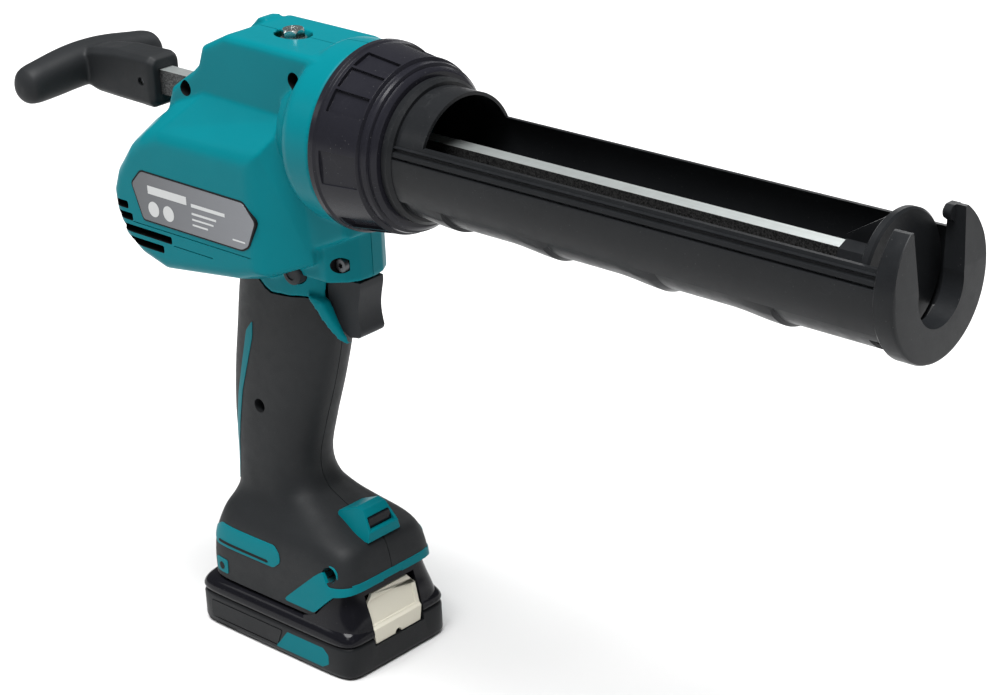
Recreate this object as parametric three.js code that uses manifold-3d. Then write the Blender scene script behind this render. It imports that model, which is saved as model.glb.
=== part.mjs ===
// Cordless caulking gun: an electric rack drive pushes a piston through an open cartridge holder.
// Millimetres. +X points along the barrel to the nozzle end, +Y to the tool's left, +Z up.
// The origin is on the battery's bottom face, which is what the gun stands on.

import * as THREE from 'three';
import { mergeVertices } from 'three/addons/utils/BufferGeometryUtils.js';
import Module from 'manifold-3d';

const wasm = await Module();
wasm.setup();

// ---------------------------------------------------------------- driving dimensions

const gap = 0.3; // between pieces that touch
const beyond = 60; // reach of a cutter past the body that it cuts

// barrel
const barrelHeight = 255; // barrel axis above the battery's bottom face
const holderRadius = 29.3;
const holderWall = 2.8;
const holderStart = 76;
const holderLength = 255.7;
const roundLength = 36.5; // rear stretch of the holder that is a full tube
const edgeHeight = 11.4; // open edge of the holder above the barrel axis
const flangeRadius = 34.5;
const flangeThickness = 3.6;
const capThickness = 8.8;
const capRadius = 30.2;
const capHornHeight = 24;
const capSlotHalfWidth = 16.2;
const capSlotDrop = 16.5; // bottom of the nozzle slot below the barrel axis

// push rod
const rackWidth = 7.5;
const rackHeight = 11.5;
const rackRear = -96;
const rackFront = 318;
const rackTravel = 225;
const pistonRadius = 24.6;
const pistonThickness = 4;
const pistonHub = 20;
const pistonFront = 325;
const pinRadius = 2.2;
const handlePinX = -82;

// gears
const rackModule = 1.5;
const rackPinionTeeth = 12;
const gearModule = 1;
const driveGearTeeth = 40;
const idlerTeeth = 18;
const pressureAngle = 25 * Math.PI / 180;
const addendum = 0.8;
const dedendum = 1.1;
const backlash = 0.25;
const pinionX = 10;
const pinionWidth = 9;
const gearWidth = 5;
const gearOffset = 6.5; // inner face of the spur gears from the centre plane
const shaftRadius = 4;
const idlerShaftRadius = 3;
const bushRadius = 7;
const bushLength = 4.2;

// housing
const wall = 2.6;
const splitGap = 0.3; // joint between the two housing halves
const bodyHalfWidth = 21;
const bodyTop = 36.5; // flat top above the barrel axis
const bodyFront = 60;
const collarSeatRadius = 39.5;
const collarSeatDepth = 17;
const neckRadius = 35;
const neckLength = 15.6;
const trunkHalfWidth = 18;
const trunkFront = 54;
const trunkBottom = 186;
const motorHalfWidth = 34;
const motorHeight = 213; // motor axis above the battery's bottom face
const motorHousingRear = -86;
const motorHousingFront = 34;

// handle
const rubber = 2.2; // overmould thickness
const coreWall = 2.2;
const rubberTop = 172;
const footBottom = 26;
const lipBottom = 155;

// trigger and switch
const triggerFront = 58;
const triggerRear = 36;
const triggerHalfWidth = 9;
const triggerBottom = 158.5;
const triggerTop = 187.5;
const triggerTravel = 6;
const lockButtonX = 21;
const lockButtonZ = 189;
const lockButtonRadius = 5.5;
const lockButtonProud = 1.5;

// motor
const motorRadius = 18;
const motorRear = -69;
const motorLength = 44;
const motorWall = 1.5;
const motorShaftRadius = 1.6;
const magnetThickness = 3.5;
const airGap = 1.7;
const rotorRadius = motorRadius - motorWall - gap - magnetThickness - airGap;
const fanRadius = motorRadius - 3;
const gearCaseRadius = motorRadius - 1;

// lamp on the foot
const lampFront = 49;
const lampWindow = [65.9, 72];

// battery
const batteryRear = -47.5;
const batteryFront = 55;
const batteryHalfWidth = 33;
const seamHeight = 16.6;
const shoulderHeight = 25.4;
const railTop = 38;
const railHalfWidth = 19;
const railRear = -34;
const railFront = 43;
const humpHalfWidth = 23.5;
const humpTop = 40.5;
const batteryWall = 2;
const cellRadius = 9;
const cellLength = 65;
const buttonHalfWidth = 15.5;
const buttonBottom = 13;
const buttonTop = 36.5;
const buttonTravel = 2.5;

// fasteners
const screwShank = 1.6;
const screwHead = 3.1;
const screwHeadHeight = 2.4;
const screwHole = screwShank + gap;
const counterbore = 3.7;
const bossRadius = 5.2;
const screwPlaces = {
  screw_rear: { x: -36.5, z: barrelHeight + 8.4, seat: 8 },
  screw_front: { x: 34, z: barrelHeight + 24.5, seat: 8 },
  screw_trigger: { x: 47, z: 197, seat: 13.5 },
  screw_grip: { x: -10, z: 116, seat: 6 },
  screw_foot: { x: 41, z: 50, seat: 15 },
};

// ---------------------------------------------------------------- looks

const looks = {
  teal: { color: '#0d7f8c', roughness: 0.42, metalness: 0 },
  black: { color: '#26282a', roughness: 0.5, metalness: 0 },
  smoke: { color: '#17181b', roughness: 0.25, metalness: 0 },
  rubber: { color: '#2b2c2e', roughness: 0.75, metalness: 0 },
  steel: { color: '#b9bfc1', roughness: 0.35, metalness: 0.9 },
  dark_steel: { color: '#55595c', roughness: 0.45, metalness: 0.85 },
  bronze: { color: '#a9793f', roughness: 0.5, metalness: 0.7 },
  cream: { color: '#dad5c3', roughness: 0.45, metalness: 0 },
  plate: { color: '#5d6066', roughness: 0.4, metalness: 0.3 },
  board: { color: '#1e5b3a', roughness: 0.6, metalness: 0 },
  lens: { color: '#d9e2e4', roughness: 0.1, metalness: 0 },
  magnet: { color: '#3a3a3c', roughness: 0.6, metalness: 0.4 },
  cell: { color: '#3f7fb0', roughness: 0.4, metalness: 0.1 },
};

// ---------------------------------------------------------------- shape helpers

function solidOf(geometry) {
  geometry.deleteAttribute('normal');
  geometry.deleteAttribute('uv');
  const merged = mergeVertices(geometry, 1e-4);
  return new wasm.Manifold(new wasm.Mesh({
    numProp: 3,
    vertProperties: new Float32Array(merged.attributes.position.array),
    triVerts: new Uint32Array(merged.index.array),
  }));
}

function box([x0, x1], [y0, y1], [z0, z1]) {
  const geometry = new THREE.BoxGeometry(x1 - x0, y1 - y0, z1 - z0);
  geometry.translate((x0 + x1) / 2, (y0 + y1) / 2, (z0 + z1) / 2);
  return solidOf(geometry);
}

function outlineShape(points) {
  return new THREE.Shape(points.map(([u, v]) => new THREE.Vector2(u, v)));
}

// Prism along Y from an outline of [x, z] points or a shape.
function prismY(outline, y0, y1) {
  const shape = Array.isArray(outline) ? outlineShape(outline) : outline;
  const geometry = new THREE.ExtrudeGeometry(shape, { depth: y1 - y0, bevelEnabled: false, curveSegments: 12 });
  geometry.rotateX(Math.PI / 2);
  geometry.translate(0, y1, 0);
  return solidOf(geometry);
}

// Prism along X from an outline of [y, z] points or a shape.
function prismX(outline, x0, x1) {
  const shape = Array.isArray(outline) ? outlineShape(outline) : outline;
  const geometry = new THREE.ExtrudeGeometry(shape, { depth: x1 - x0, bevelEnabled: false, curveSegments: 12 });
  geometry.rotateY(Math.PI / 2);
  geometry.rotateX(Math.PI / 2);
  geometry.translate(x0, 0, 0);
  return solidOf(geometry);
}

function rodX(radius, x0, x1, { y = 0, z = 0, sides = 32, endRadius = radius } = {}) {
  const geometry = new THREE.CylinderGeometry(endRadius, radius, x1 - x0, sides);
  geometry.rotateZ(-Math.PI / 2);
  geometry.translate((x0 + x1) / 2, y, z);
  return solidOf(geometry);
}

function rodY(radius, y0, y1, { x = 0, z = 0, sides = 20 } = {}) {
  const geometry = new THREE.CylinderGeometry(radius, radius, y1 - y0, sides);
  geometry.translate(x, (y0 + y1) / 2, z);
  return solidOf(geometry);
}

function rodZ(radius, z0, z1, { x = 0, y = 0, sides = 20 } = {}) {
  const geometry = new THREE.CylinderGeometry(radius, radius, z1 - z0, sides);
  geometry.rotateX(Math.PI / 2);
  geometry.translate(x, y, (z0 + z1) / 2);
  return solidOf(geometry);
}

function barrelRod(radius, x0, x1, sides = 40) {
  return rodX(radius, x0, x1, { z: barrelHeight, sides });
}

// Body turned about the barrel axis from [x, radius] points that go once round its wall.
function turned(profile, sides = 40) {
  const closed = [...profile, profile[0]];
  const points = closed.map(([x, radius]) => new THREE.Vector2(radius, x));
  const geometry = new THREE.LatheGeometry(points, sides);
  geometry.rotateZ(-Math.PI / 2);
  geometry.translate(0, 0, barrelHeight);
  return solidOf(geometry);
}

// Closed body through rounded sections. Each station gives its place on the axis, the centre
// [u, v], the half sizes [a, b] and how square the section is (2 is an ellipse).
function loft(stations, turn, sides = 24) {
  const steps = stations.length - 1;
  const geometry = new THREE.CylinderGeometry(1, 1, 1, sides, steps);
  const points = geometry.attributes.position;
  const squared = (value, power) => Math.sign(value) * Math.abs(value) ** (2 / power);
  const clean = (value) => (Math.abs(value) < 1e-6 ? 0 : value);
  for (let i = 0; i < points.count; i++) {
    const station = stations[Math.round((points.getY(i) + 0.5) * steps)];
    const { at, centre: [u, v], half: [a, b], square } = station;
    const onU = u + a * squared(clean(points.getX(i)), square);
    const onV = v - b * squared(clean(points.getZ(i)), square);
    points.setXYZ(i, ...turn(onU, onV, at));
  }
  return solidOf(geometry);
}

const alongZ = (x, y, z) => [x, y, z];
const alongX = (y, z, x) => [x, y, z];
const alongY = (z, x, y) => [x, y, z];

function inset(stations, amount) {
  const last = stations.length - 1;
  return stations.map((station, index) => ({
    ...station,
    at: station.at + (index === 0 ? amount : 0) - (index === last ? amount : 0),
    half: station.half.map((size) => size - amount),
  }));
}

// Moves each corner of an outline inwards by the same wall thickness.
function insetOutline(points, amount) {
  const count = points.length;
  return points.map((point, index) => {
    const before = new THREE.Vector2(...points[(index + count - 1) % count]);
    const here = new THREE.Vector2(...point);
    const after = new THREE.Vector2(...points[(index + 1) % count]);
    const into = here.clone().sub(before).normalize();
    const out = after.clone().sub(here).normalize();
    const normal = new THREE.Vector2(-into.y - out.y, into.x + out.x).normalize();
    const mitre = Math.max(0.5, normal.dot(new THREE.Vector2(-into.y, into.x)));
    const moved = here.addScaledVector(normal, amount / mitre);
    return [moved.x, moved.y];
  });
}

const model = new THREE.Group();

function addPart(name, solid, look) {
  const { vertProperties, triVerts } = solid.getMesh();
  const geometry = new THREE.BufferGeometry();
  geometry.setAttribute('position', new THREE.BufferAttribute(vertProperties, 3));
  geometry.setIndex(new THREE.BufferAttribute(triVerts, 1));
  geometry.computeVertexNormals();
  const mesh = new THREE.Mesh(geometry, new THREE.MeshStandardMaterial(looks[look]));
  mesh.name = name;
  model.add(mesh);
}

// ---------------------------------------------------------------- gears

const involute = (angle) => Math.tan(angle) - angle;

// Outline of a spur gear; the first tooth points along +u and the outline turns to the left.
function gearShape(teeth, module) {
  const pitch = teeth * module / 2;
  const base = pitch * Math.cos(pressureAngle);
  const tip = pitch + addendum * module;
  const root = pitch - dedendum * module;
  const halfAtPitch = Math.PI / (2 * teeth) - backlash / (2 * pitch);
  const flankSteps = 2;
  const points = [];
  for (let tooth = 0; tooth < teeth; tooth++) {
    const middle = 2 * Math.PI * tooth / teeth;
    const flank = [];
    for (let step = 0; step <= flankSteps; step++) {
      const radius = Math.max(base, root) + (tip - Math.max(base, root)) * step / flankSteps;
      const spread = halfAtPitch + involute(pressureAngle) - involute(Math.acos(base / radius));
      flank.push([radius, spread]);
    }
    if (root < base) {
      flank.unshift([root, flank[0][1]]);
    }
    flank.forEach(([radius, spread]) => points.push([radius, middle - spread]));
    flank.reverse().forEach(([radius, spread]) => points.push([radius, middle + spread]));
  }
  return points.map(([radius, angle]) => [radius * Math.cos(angle), radius * Math.sin(angle)]);
}

function spurGear(teeth, module, x, z, y0, y1, turnAngle, bore) {
  const cos = Math.cos(turnAngle);
  const sin = Math.sin(turnAngle);
  const outline = gearShape(teeth, module).map(([u, v]) => [x + u * cos - v * sin, z + u * sin + v * cos]);
  return prismY(outline, y0, y1).subtract(rodY(bore, y0 - 1, y1 + 1, { x, z }));
}

const rackBottom = barrelHeight - rackHeight / 2;
const rackPitchLine = rackBottom + addendum * rackModule;
const rackPinionRadius = rackPinionTeeth * rackModule / 2;
const pinionZ = rackPitchLine - rackPinionRadius;
const gearDistance = (driveGearTeeth + idlerTeeth) * gearModule / 2;
const idlerZ = pinionZ - gearDistance;
const toothPitch = Math.PI * rackModule;
const switchFront = triggerRear - 9;
const stemZ = 174;

// ---------------------------------------------------------------- outer forms of the housing

const gearHousingOutline = [
  [motorHousingFront, 200],
  [bodyFront, 214],
  [bodyFront, barrelHeight + 33],
  [43, barrelHeight + bodyTop],
  [-9, barrelHeight + bodyTop + 1],
  [-24.5, barrelHeight + 29.5],
  [-28, barrelHeight + 20.5],
  [-32, barrelHeight + 17],
  [-47, barrelHeight + 7],
  [-54, barrelHeight - 10],
  [-56, barrelHeight - 30],
];

const motorStations = [
  { at: motorHousingRear, centre: [0, -4], half: [18, 15], square: 2.6 },
  { at: motorHousingRear + 5, centre: [0, -4], half: [26, 22], square: 2.8 },
  { at: motorHousingRear + 18, centre: [0, -4], half: [32, 29], square: 3.2 },
  { at: motorHousingRear + 36, centre: [0, -1], half: [motorHalfWidth, 34], square: 3.4 },
  { at: motorHousingFront - 18, centre: [0, 4], half: [motorHalfWidth, 39], square: 3.4 },
  { at: motorHousingFront, centre: [0, 6], half: [24, 37], square: 3.2 },
].map((station) => ({ ...station, centre: [0, motorHeight + station.centre[1]] }));

const trunkStations = [
  { at: trunkBottom, centre: [12, 0], half: [trunkFront - 12, trunkHalfWidth], square: 4 },
  { at: barrelHeight - 10, centre: [12, 0], half: [trunkFront - 12, trunkHalfWidth], square: 4 },
];

// The handle runs from the foot over the battery up to the trunk behind the trigger.
const handleStations = [
  { at: footBottom, centre: [6.5, 0], half: [46.5, 29.5], square: 5 },
  { at: 44, centre: [6.5, 0], half: [46.5, 29.5], square: 5 },
  { at: 53, centre: [5.5, 0], half: [45, 28], square: 4.6 },
  { at: 61, centre: [1, 0], half: [38.5, 24], square: 4 },
  { at: 68, centre: [-8, 0], half: [29, 20], square: 3.2 },
  { at: 76, centre: [-13.5, 0], half: [24, 17.8], square: 2.8 },
  { at: 86, centre: [-14, 0], half: [23, 17], square: 2.6 },
  { at: 107, centre: [-11, 0], half: [26.6, 17], square: 2.6 },
  { at: 130, centre: [-6, 0], half: [29.3, 17], square: 2.6 },
  { at: 150, centre: [-1, 0], half: [30.3, 17.2], square: 2.6 },
  { at: 170, centre: [3, 0], half: [30.6, 17.5], square: 2.6 },
  { at: 192, centre: [8, 0], half: [30.6, 17.5], square: 2.6 },
];

const handleForm = (amount) => loft(inset(handleStations, amount), alongZ);

function lipForm(amount) {
  const outline = [[22, lipBottom], [44, lipBottom], [56, lipBottom + 4.4], [56, lipBottom + 7.5],
    [triggerRear + 4, triggerBottom - 1], [triggerRear - 4, 176], [20, trunkBottom + 4]];
  return prismY(insetOutline(outline, amount), -12.5 + amount, 12.5 - amount);
}

// Gear housing, collar seat, motor housing and trunk: the teal upper body.
function upperForm(amount) {
  const housing = prismY(insetOutline(gearHousingOutline, amount), -bodyHalfWidth + amount, bodyHalfWidth - amount);
  const seat = barrelRod(collarSeatRadius - amount, bodyFront - collarSeatDepth + amount, bodyFront - amount);
  return housing.add(seat)
    .add(loft(inset(motorStations, amount), alongX))
    .add(loft(inset(trunkStations, amount), alongZ));
}

// ---------------------------------------------------------------- housing halves

function ventCuts() {
  const slots = [[-90, -68, 204], [-90, -65.5, 198.5], [-90, -40, 193], [-72, -45, 187.2]];
  const cuts = slots.map(([x0, x1, z]) => box([x0, x1], [-45, -14], [z, z + 3.4]));
  const right = cuts.reduce((all, cut) => all.add(cut));
  return right.add(right.mirror([0, 1, 0]));
}

function namePlateOutline(amount) {
  const outline = [[-52, 200.5], [7, 200.5], [13, 203.5], [17, 213.5], [9.5, 223.5], [-57, 224], [-63.5, 217.5]];
  return insetOutline(outline, -amount);
}

function screwBosses(form) {
  const bosses = Object.values(screwPlaces).map(({ x, z }) => {
    const right = rodY(bossRadius, -45, -rackWidth / 2 - 1, { x, z });
    return right.add(right.mirror([0, 1, 0]));
  });
  return bosses.reduce((all, boss) => all.add(boss)).intersect(form);
}

function screwCuts() {
  const cuts = Object.values(screwPlaces).map(({ x, z, seat }) => {
    const hole = rodY(screwHole, -45, seat + 4, { x, z, sides: 16 });
    return hole.add(rodY(counterbore, -45, -seat, { x, z }));
  });
  return cuts.reduce((all, cut) => all.add(cut));
}

// Posts that carry the shaft bushes, from the side walls in to the gears.
function bearingPosts(form) {
  const inner = gearOffset + gearWidth + 1;
  const left = rodY(bushRadius + 2.2, inner, 45, { x: pinionX, z: pinionZ });
  const right = rodY(bushRadius + 2.2, -45, -gearOffset - 1, { x: pinionX, z: pinionZ });
  const idler = rodY(bushRadius + 2.2, inner, 45, { x: pinionX, z: idlerZ });
  return left.add(right).add(idler).intersect(form);
}

function bearingPockets() {
  const inner = gearOffset + gearWidth + 1;
  const reach = bushLength + 2 * gap + 0.6;
  const pocket = bushRadius + gap;
  return rodY(pocket, inner - 1, inner + reach, { x: pinionX, z: pinionZ })
    .add(rodY(pocket, -gearOffset - 1 - reach, -gearOffset, { x: pinionX, z: pinionZ }))
    .add(rodY(pocket, inner - 1, inner + reach, { x: pinionX, z: idlerZ }));
}

function batteryChannel() {
  const roof = humpTop + 1;
  const channel = box([railRear - 2, beyond * 2], [-railHalfWidth - 1.5, railHalfWidth + 1.5], [-1, roof]);
  const front = box([railFront - 1.8, beyond * 2], [-humpHalfWidth - 2.5, humpHalfWidth + 2.5], [-1, roof]);
  return channel.add(front);
}

function housingShell() {
  const outer = upperForm(0).add(handleForm(rubber + gap)).add(lipForm(0));
  const cavity = upperForm(wall).add(handleForm(rubber + gap + coreWall).subtract(roofOfChannel()));
  const neck = barrelRod(neckRadius, bodyFront - 1, bodyFront + neckLength)
    .subtract(barrelRod(neckRadius - 4, bodyFront, bodyFront + neckLength + 1));
  const rackWindow = box([-beyond, bodyFront + 1], [-rackWidth / 2 - 0.9, rackWidth / 2 + 0.9],
    [rackBottom - 0.9, rackBottom + rackHeight + 0.9]);
  const triggerWindow = box([switchFront - 8, triggerFront + 10],
    [-triggerHalfWidth - 0.6, triggerHalfWidth + 0.6], [triggerBottom - 0.8, triggerTop + 0.8]);
  const plateSeat = prismY(namePlateOutline(gap), -motorHalfWidth - 2, -motorHalfWidth + 1.2);
  return outer.subtract(cavity)
    .add(screwBosses(upperForm(0.6).add(handleForm(rubber + gap))))
    .add(bearingPosts(upperForm(0.6)))
    .add(neck)
    .subtract(bearingPockets())
    .subtract(rackWindow)
    .subtract(triggerWindow)
    .subtract(plateSeat)
    .subtract(ventCuts())
    .subtract(screwCuts())
    .subtract(rodY(lockButtonRadius + gap, -beyond, beyond, { x: lockButtonX, z: lockButtonZ }))
    .subtract(terminalWindow())
    .subtract(boltPocket())
    .subtract(batteryChannel());
}

// Floor that closes the foot above the battery's rails.
function roofOfChannel() {
  return box([-beyond, beyond], [-beyond, beyond], [-1, humpTop + 1 + coreWall]);
}

function terminalWindow() {
  return box([-24, 4], [-10.3, 10.3], [humpTop, humpTop + 2 * coreWall]);
}

function boltPocket() {
  const top = barrelHeight + bodyTop;
  return rodZ(6.5, top - 2, top + 5, { x: 13 }).add(rodZ(2.6, top - 12, top, { x: 13 }));
}

const shell = housingShell();
const rightSide = box([-200, 400], [-90, -splitGap / 2], [-1, 400]);
const leftSide = box([-200, 400], [splitGap / 2, 90], [-1, 400]);
addPart('housing_right', shell.intersect(rightSide), 'teal');
addPart('housing_left', shell.intersect(leftSide), 'teal');

function rubberShell() {
  const skin = handleForm(0).subtract(handleForm(rubber));
  const screws = Object.values(screwPlaces)
    .map(({ x, z }) => rodY(counterbore + 0.6, -beyond, beyond, { x, z }))
    .reduce((all, hole) => all.add(hole));
  return skin
    .subtract(box([-beyond, beyond], [-beyond, beyond], [rubberTop, 300]))
    .subtract(box([18, beyond], [-beyond, beyond], [lipBottom - 2, 300]))
    .subtract(lipForm(-gap))
    .subtract(upperForm(-gap))
    .subtract(screws)
    .subtract(batteryChannel());
}

const overmould = rubberShell();
addPart('grip_cover_right', overmould.intersect(rightSide), 'rubber');
addPart('grip_cover_left', overmould.intersect(leftSide), 'rubber');

addPart('name_plate', prismY(namePlateOutline(0), -motorHalfWidth - 0.2, -motorHalfWidth + 0.9), 'plate');

// ---------------------------------------------------------------- holder, ring and end cap

function cartridgeHolder() {
  const front = holderStart + holderLength;
  const openTop = box([holderStart + roundLength, front + 1], [-beyond, beyond], [barrelHeight + edgeHeight, 400]);
  const drain = box([front - 7, front + 1], [-15, 15], [barrelHeight - beyond, barrelHeight - 20]);
  return barrelRod(holderRadius, holderStart, front)
    .add(barrelRod(flangeRadius, holderStart, holderStart + flangeThickness))
    .subtract(barrelRod(holderRadius - holderWall, holderStart - 1, front + 1))
    .subtract(openTop)
    .subtract(drain);
}

function endCap() {
  const rear = holderStart + holderLength + gap;
  const front = rear + capThickness;
  const slotBottomRadius = 14.5;
  const top = barrelHeight + capHornHeight;
  const slotCentre = barrelHeight - capSlotDrop + slotBottomRadius;
  const slot = prismX([
    [-slotBottomRadius, slotCentre],
    [slotBottomRadius, slotCentre],
    [capSlotHalfWidth, top + 5],
    [-capSlotHalfWidth, top + 5],
  ], rear - 1, front + 1);
  return barrelRod(capRadius, rear, front)
    .subtract(box([rear - 1, front + 1], [-beyond, beyond], [top, 400]))
    .subtract(slot)
    .subtract(rodX(slotBottomRadius, rear - 1, front + 1, { z: slotCentre, sides: 40 }));
}

function lockingRing() {
  const rear = bodyFront + gap;
  const flangeFront = holderStart + flangeThickness;
  return turned([
    [rear, 41.2],
    [rear + 4, 41.2],
    [rear + 26, 37.6],
    [rear + 32.5, 36.2],
    [rear + 32.5, holderRadius + gap + 0.3],
    [flangeFront + gap, holderRadius + gap + 0.3],
    [flangeFront + gap, neckRadius + gap],
    [rear, neckRadius + gap],
  ]);
}

addPart('cartridge_holder', cartridgeHolder(), 'black');
addPart('end_cap', endCap(), 'black');
addPart('locking_ring', lockingRing(), 'smoke');

// ---------------------------------------------------------------- push rod

function rackBar() {
  const teethStart = pinionX - 3.5 * toothPitch;
  const count = Math.ceil((rackTravel + 8 * toothPitch) / toothPitch);
  const rootLine = rackPitchLine + dedendum * rackModule;
  const halfTooth = toothPitch / 4 - backlash / 2;
  const slope = Math.tan(pressureAngle);
  const tipHalf = halfTooth - slope * (rackPitchLine - rackBottom);
  const rootHalf = halfTooth + slope * (rootLine - rackPitchLine);
  const lower = [[rackRear, rackBottom]];
  for (let tooth = 0; tooth < count; tooth++) {
    const middle = teethStart + toothPitch * tooth;
    lower.push([middle - rootHalf, tooth === 0 ? rackBottom : rootLine]);
    lower.push([middle - tipHalf, rackBottom]);
    lower.push([middle + tipHalf, rackBottom]);
    lower.push([middle + rootHalf, tooth === count - 1 ? rackBottom : rootLine]);
  }
  lower.push([rackFront, rackBottom]);
  const firstKept = lower.filter(([x, z], index) => index === 0 || x !== lower[index - 1][0] || z !== lower[index - 1][1]);
  const outline = [...firstKept, [rackFront, rackBottom + rackHeight], [rackRear, rackBottom + rackHeight]];
  return prismY(outline, -rackWidth / 2, rackWidth / 2)
    .subtract(rodY(pinRadius + gap, -beyond, beyond, { x: handlePinX, z: barrelHeight }))
    .subtract(rodX(2.2, rackFront - 12, rackFront + 1, { z: barrelHeight, sides: 16 }));
}

function rackSocket(x0, x1) {
  return box([x0, x1], [-rackWidth / 2 - gap, rackWidth / 2 + gap], [rackBottom - gap, rackBottom + rackHeight + gap]);
}

function pullHandle() {
  const stem = loft([
    { at: -132, centre: [0, barrelHeight - 2], half: [8.6, 9.6], square: 3 },
    { at: -116, centre: [0, barrelHeight - 1], half: [8.8, 11.2], square: 4 },
    { at: -78, centre: [0, barrelHeight], half: [9, 12.2], square: 5 },
    { at: -74, centre: [0, barrelHeight], half: [7.6, 10.8], square: 5 },
  ], alongX);
  const bar = loft([
    { at: -41, centre: [barrelHeight - 3.5, -129.5], half: [4.2, 4.2], square: 2.2 },
    { at: -39, centre: [barrelHeight - 3.4, -129.5], half: [7.6, 7.6], square: 2.2 },
    { at: -31, centre: [barrelHeight - 2.8, -130], half: [9, 8.8], square: 2.3 },
    { at: -10, centre: [barrelHeight - 1.2, -131], half: [10.4, 9.5], square: 2.4 },
    { at: 10, centre: [barrelHeight - 1.2, -131], half: [10.4, 9.5], square: 2.4 },
    { at: 31, centre: [barrelHeight - 2.8, -130], half: [9, 8.8], square: 2.3 },
    { at: 39, centre: [barrelHeight - 3.4, -129.5], half: [7.6, 7.6], square: 2.2 },
    { at: 41, centre: [barrelHeight - 3.5, -129.5], half: [4.2, 4.2], square: 2.2 },
  ], alongY);
  return stem.add(bar)
    .subtract(rackSocket(rackRear - gap, -60))
    .subtract(rodY(pinRadius + gap, -beyond, beyond, { x: handlePinX, z: barrelHeight }));
}

function piston() {
  const discRear = pistonFront - pistonThickness;
  const hubRear = discRear - pistonHub;
  const rib = prismX([[-1.2, -pistonRadius + 3], [1.2, -pistonRadius + 3], [1.2, pistonRadius - 3],
    [-1.2, pistonRadius - 3]], hubRear, discRear + 1);
  const cone = rodX(9.5, hubRear, discRear + 1, { endRadius: pistonRadius - 2, sides: 32 });
  const upright = rib.intersect(cone);
  const across = upright.rotate([90, 0, 0]);
  const hub = rodX(8.8, hubRear, discRear + 1, { sides: 24 });
  const disc = rodX(pistonRadius, discRear, pistonFront, { sides: 40 });
  return disc.add(upright).add(across).add(hub)
    .translate([0, 0, barrelHeight])
    .subtract(rackSocket(hubRear - 1, rackFront + gap))
    .subtract(rodX(2.4, rackFront - 1, pistonFront + 1, { z: barrelHeight, sides: 16 }))
    .subtract(rodX(5, pistonFront - 2.6, pistonFront + 1, { z: barrelHeight, sides: 20 }));
}

function pistonScrew() {
  return rodX(4.6, pistonFront - 2.2, pistonFront, { z: barrelHeight, sides: 20 })
    .add(rodX(1.8, rackFront - 10, pistonFront - 1, { z: barrelHeight, sides: 16 }))
    .subtract(rodX(1.6, pistonFront - 1.5, pistonFront + 1, { z: barrelHeight, sides: 6 }));
}

addPart('rack', rackBar(), 'steel');
addPart('pull_handle', pullHandle(), 'black');
addPart('handle_pin', rodY(pinRadius, -7.6, 7.6, { x: handlePinX, z: barrelHeight }), 'dark_steel');
addPart('piston', piston(), 'black');
addPart('piston_screw', pistonScrew(), 'steel');

// ---------------------------------------------------------------- gear train

// Two rack teeth stand evenly about the pinion's centre at rest, so one of its own teeth points up.
const pinionTurn = Math.PI / 2;
const driveGearTurn = -Math.PI / 2;
const idlerTurn = Math.PI / 2 + Math.PI / idlerTeeth;

addPart('rack_pinion', spurGear(rackPinionTeeth, rackModule, pinionX, pinionZ,
  -pinionWidth / 2, pinionWidth / 2, pinionTurn, shaftRadius + gap), 'dark_steel');
addPart('drive_gear', spurGear(driveGearTeeth, gearModule, pinionX, pinionZ,
  gearOffset, gearOffset + gearWidth, driveGearTurn, shaftRadius + gap), 'dark_steel');
addPart('pinion_shaft', rodY(shaftRadius, -gearOffset - 1 - bushLength, gearOffset + gearWidth + 1 + bushLength,
  { x: pinionX, z: pinionZ, sides: 24 }), 'steel');
addPart('idler_pinion', spurGear(idlerTeeth, gearModule, pinionX, idlerZ,
  gearOffset, gearOffset + gearWidth, idlerTurn, idlerShaftRadius + gap), 'dark_steel');
addPart('idler_shaft', rodY(idlerShaftRadius, -2, gearOffset + gearWidth + 1 + bushLength,
  { x: pinionX, z: idlerZ, sides: 24 }), 'steel');

function bush(y, z, bore) {
  return rodY(bushRadius, y, y + bushLength, { x: pinionX, z, sides: 24 })
    .subtract(rodY(bore + gap, y - 1, y + bushLength + 1, { x: pinionX, z, sides: 24 }));
}

const bushInner = gearOffset + gearWidth + 1.3;
addPart('pinion_bush_left', bush(bushInner, pinionZ, shaftRadius), 'bronze');
addPart('pinion_bush_right', bush(-gearOffset - 1.3 - bushLength, pinionZ, shaftRadius), 'bronze');
addPart('idler_bush', bush(bushInner, idlerZ, idlerShaftRadius), 'bronze');

function gearCase() {
  const rear = motorRear + motorLength + gap;
  const caseFront = pinionX + 12;
  const round = rodX(gearCaseRadius, rear, -12, { z: motorHeight, sides: 32 });
  const nose = box([-13, caseFront], [-15, gearOffset - 1], [motorHeight - 14, pinionZ - rackPinionRadius - 3.5]);
  return round.add(nose)
    .subtract(rodY(idlerShaftRadius + gap, -4, gearOffset, { x: pinionX, z: idlerZ }))
    .subtract(rodX(motorShaftRadius + gap, rear - 1, rear + 10, { z: motorHeight, sides: 16 }));
}

addPart('gear_case', gearCase(), 'dark_steel');

// Block that keeps the rack down on its pinion.
function rackGuide() {
  const top = barrelHeight + bodyTop - wall - 1;
  const block = box([pinionX - 9, pinionX + 15], [-rackWidth / 2 - 2, rackWidth / 2 + 2], [barrelHeight - 2, top - 2]);
  return block
    .subtract(rackSocket(-beyond, beyond))
    .subtract(box([-beyond, beyond], [-rackWidth / 2 - gap, rackWidth / 2 + gap], [0, barrelHeight]))
    .subtract(rodZ(2.9, top - 16, top, { x: 13 }));
}

function guideBolt() {
  const seat = barrelHeight + bodyTop - 2 + gap;
  return rodZ(5, seat, seat + 4, { x: 13, sides: 6 }).add(rodZ(2.2, seat - 14, seat + 1, { x: 13 }));
}

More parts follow.
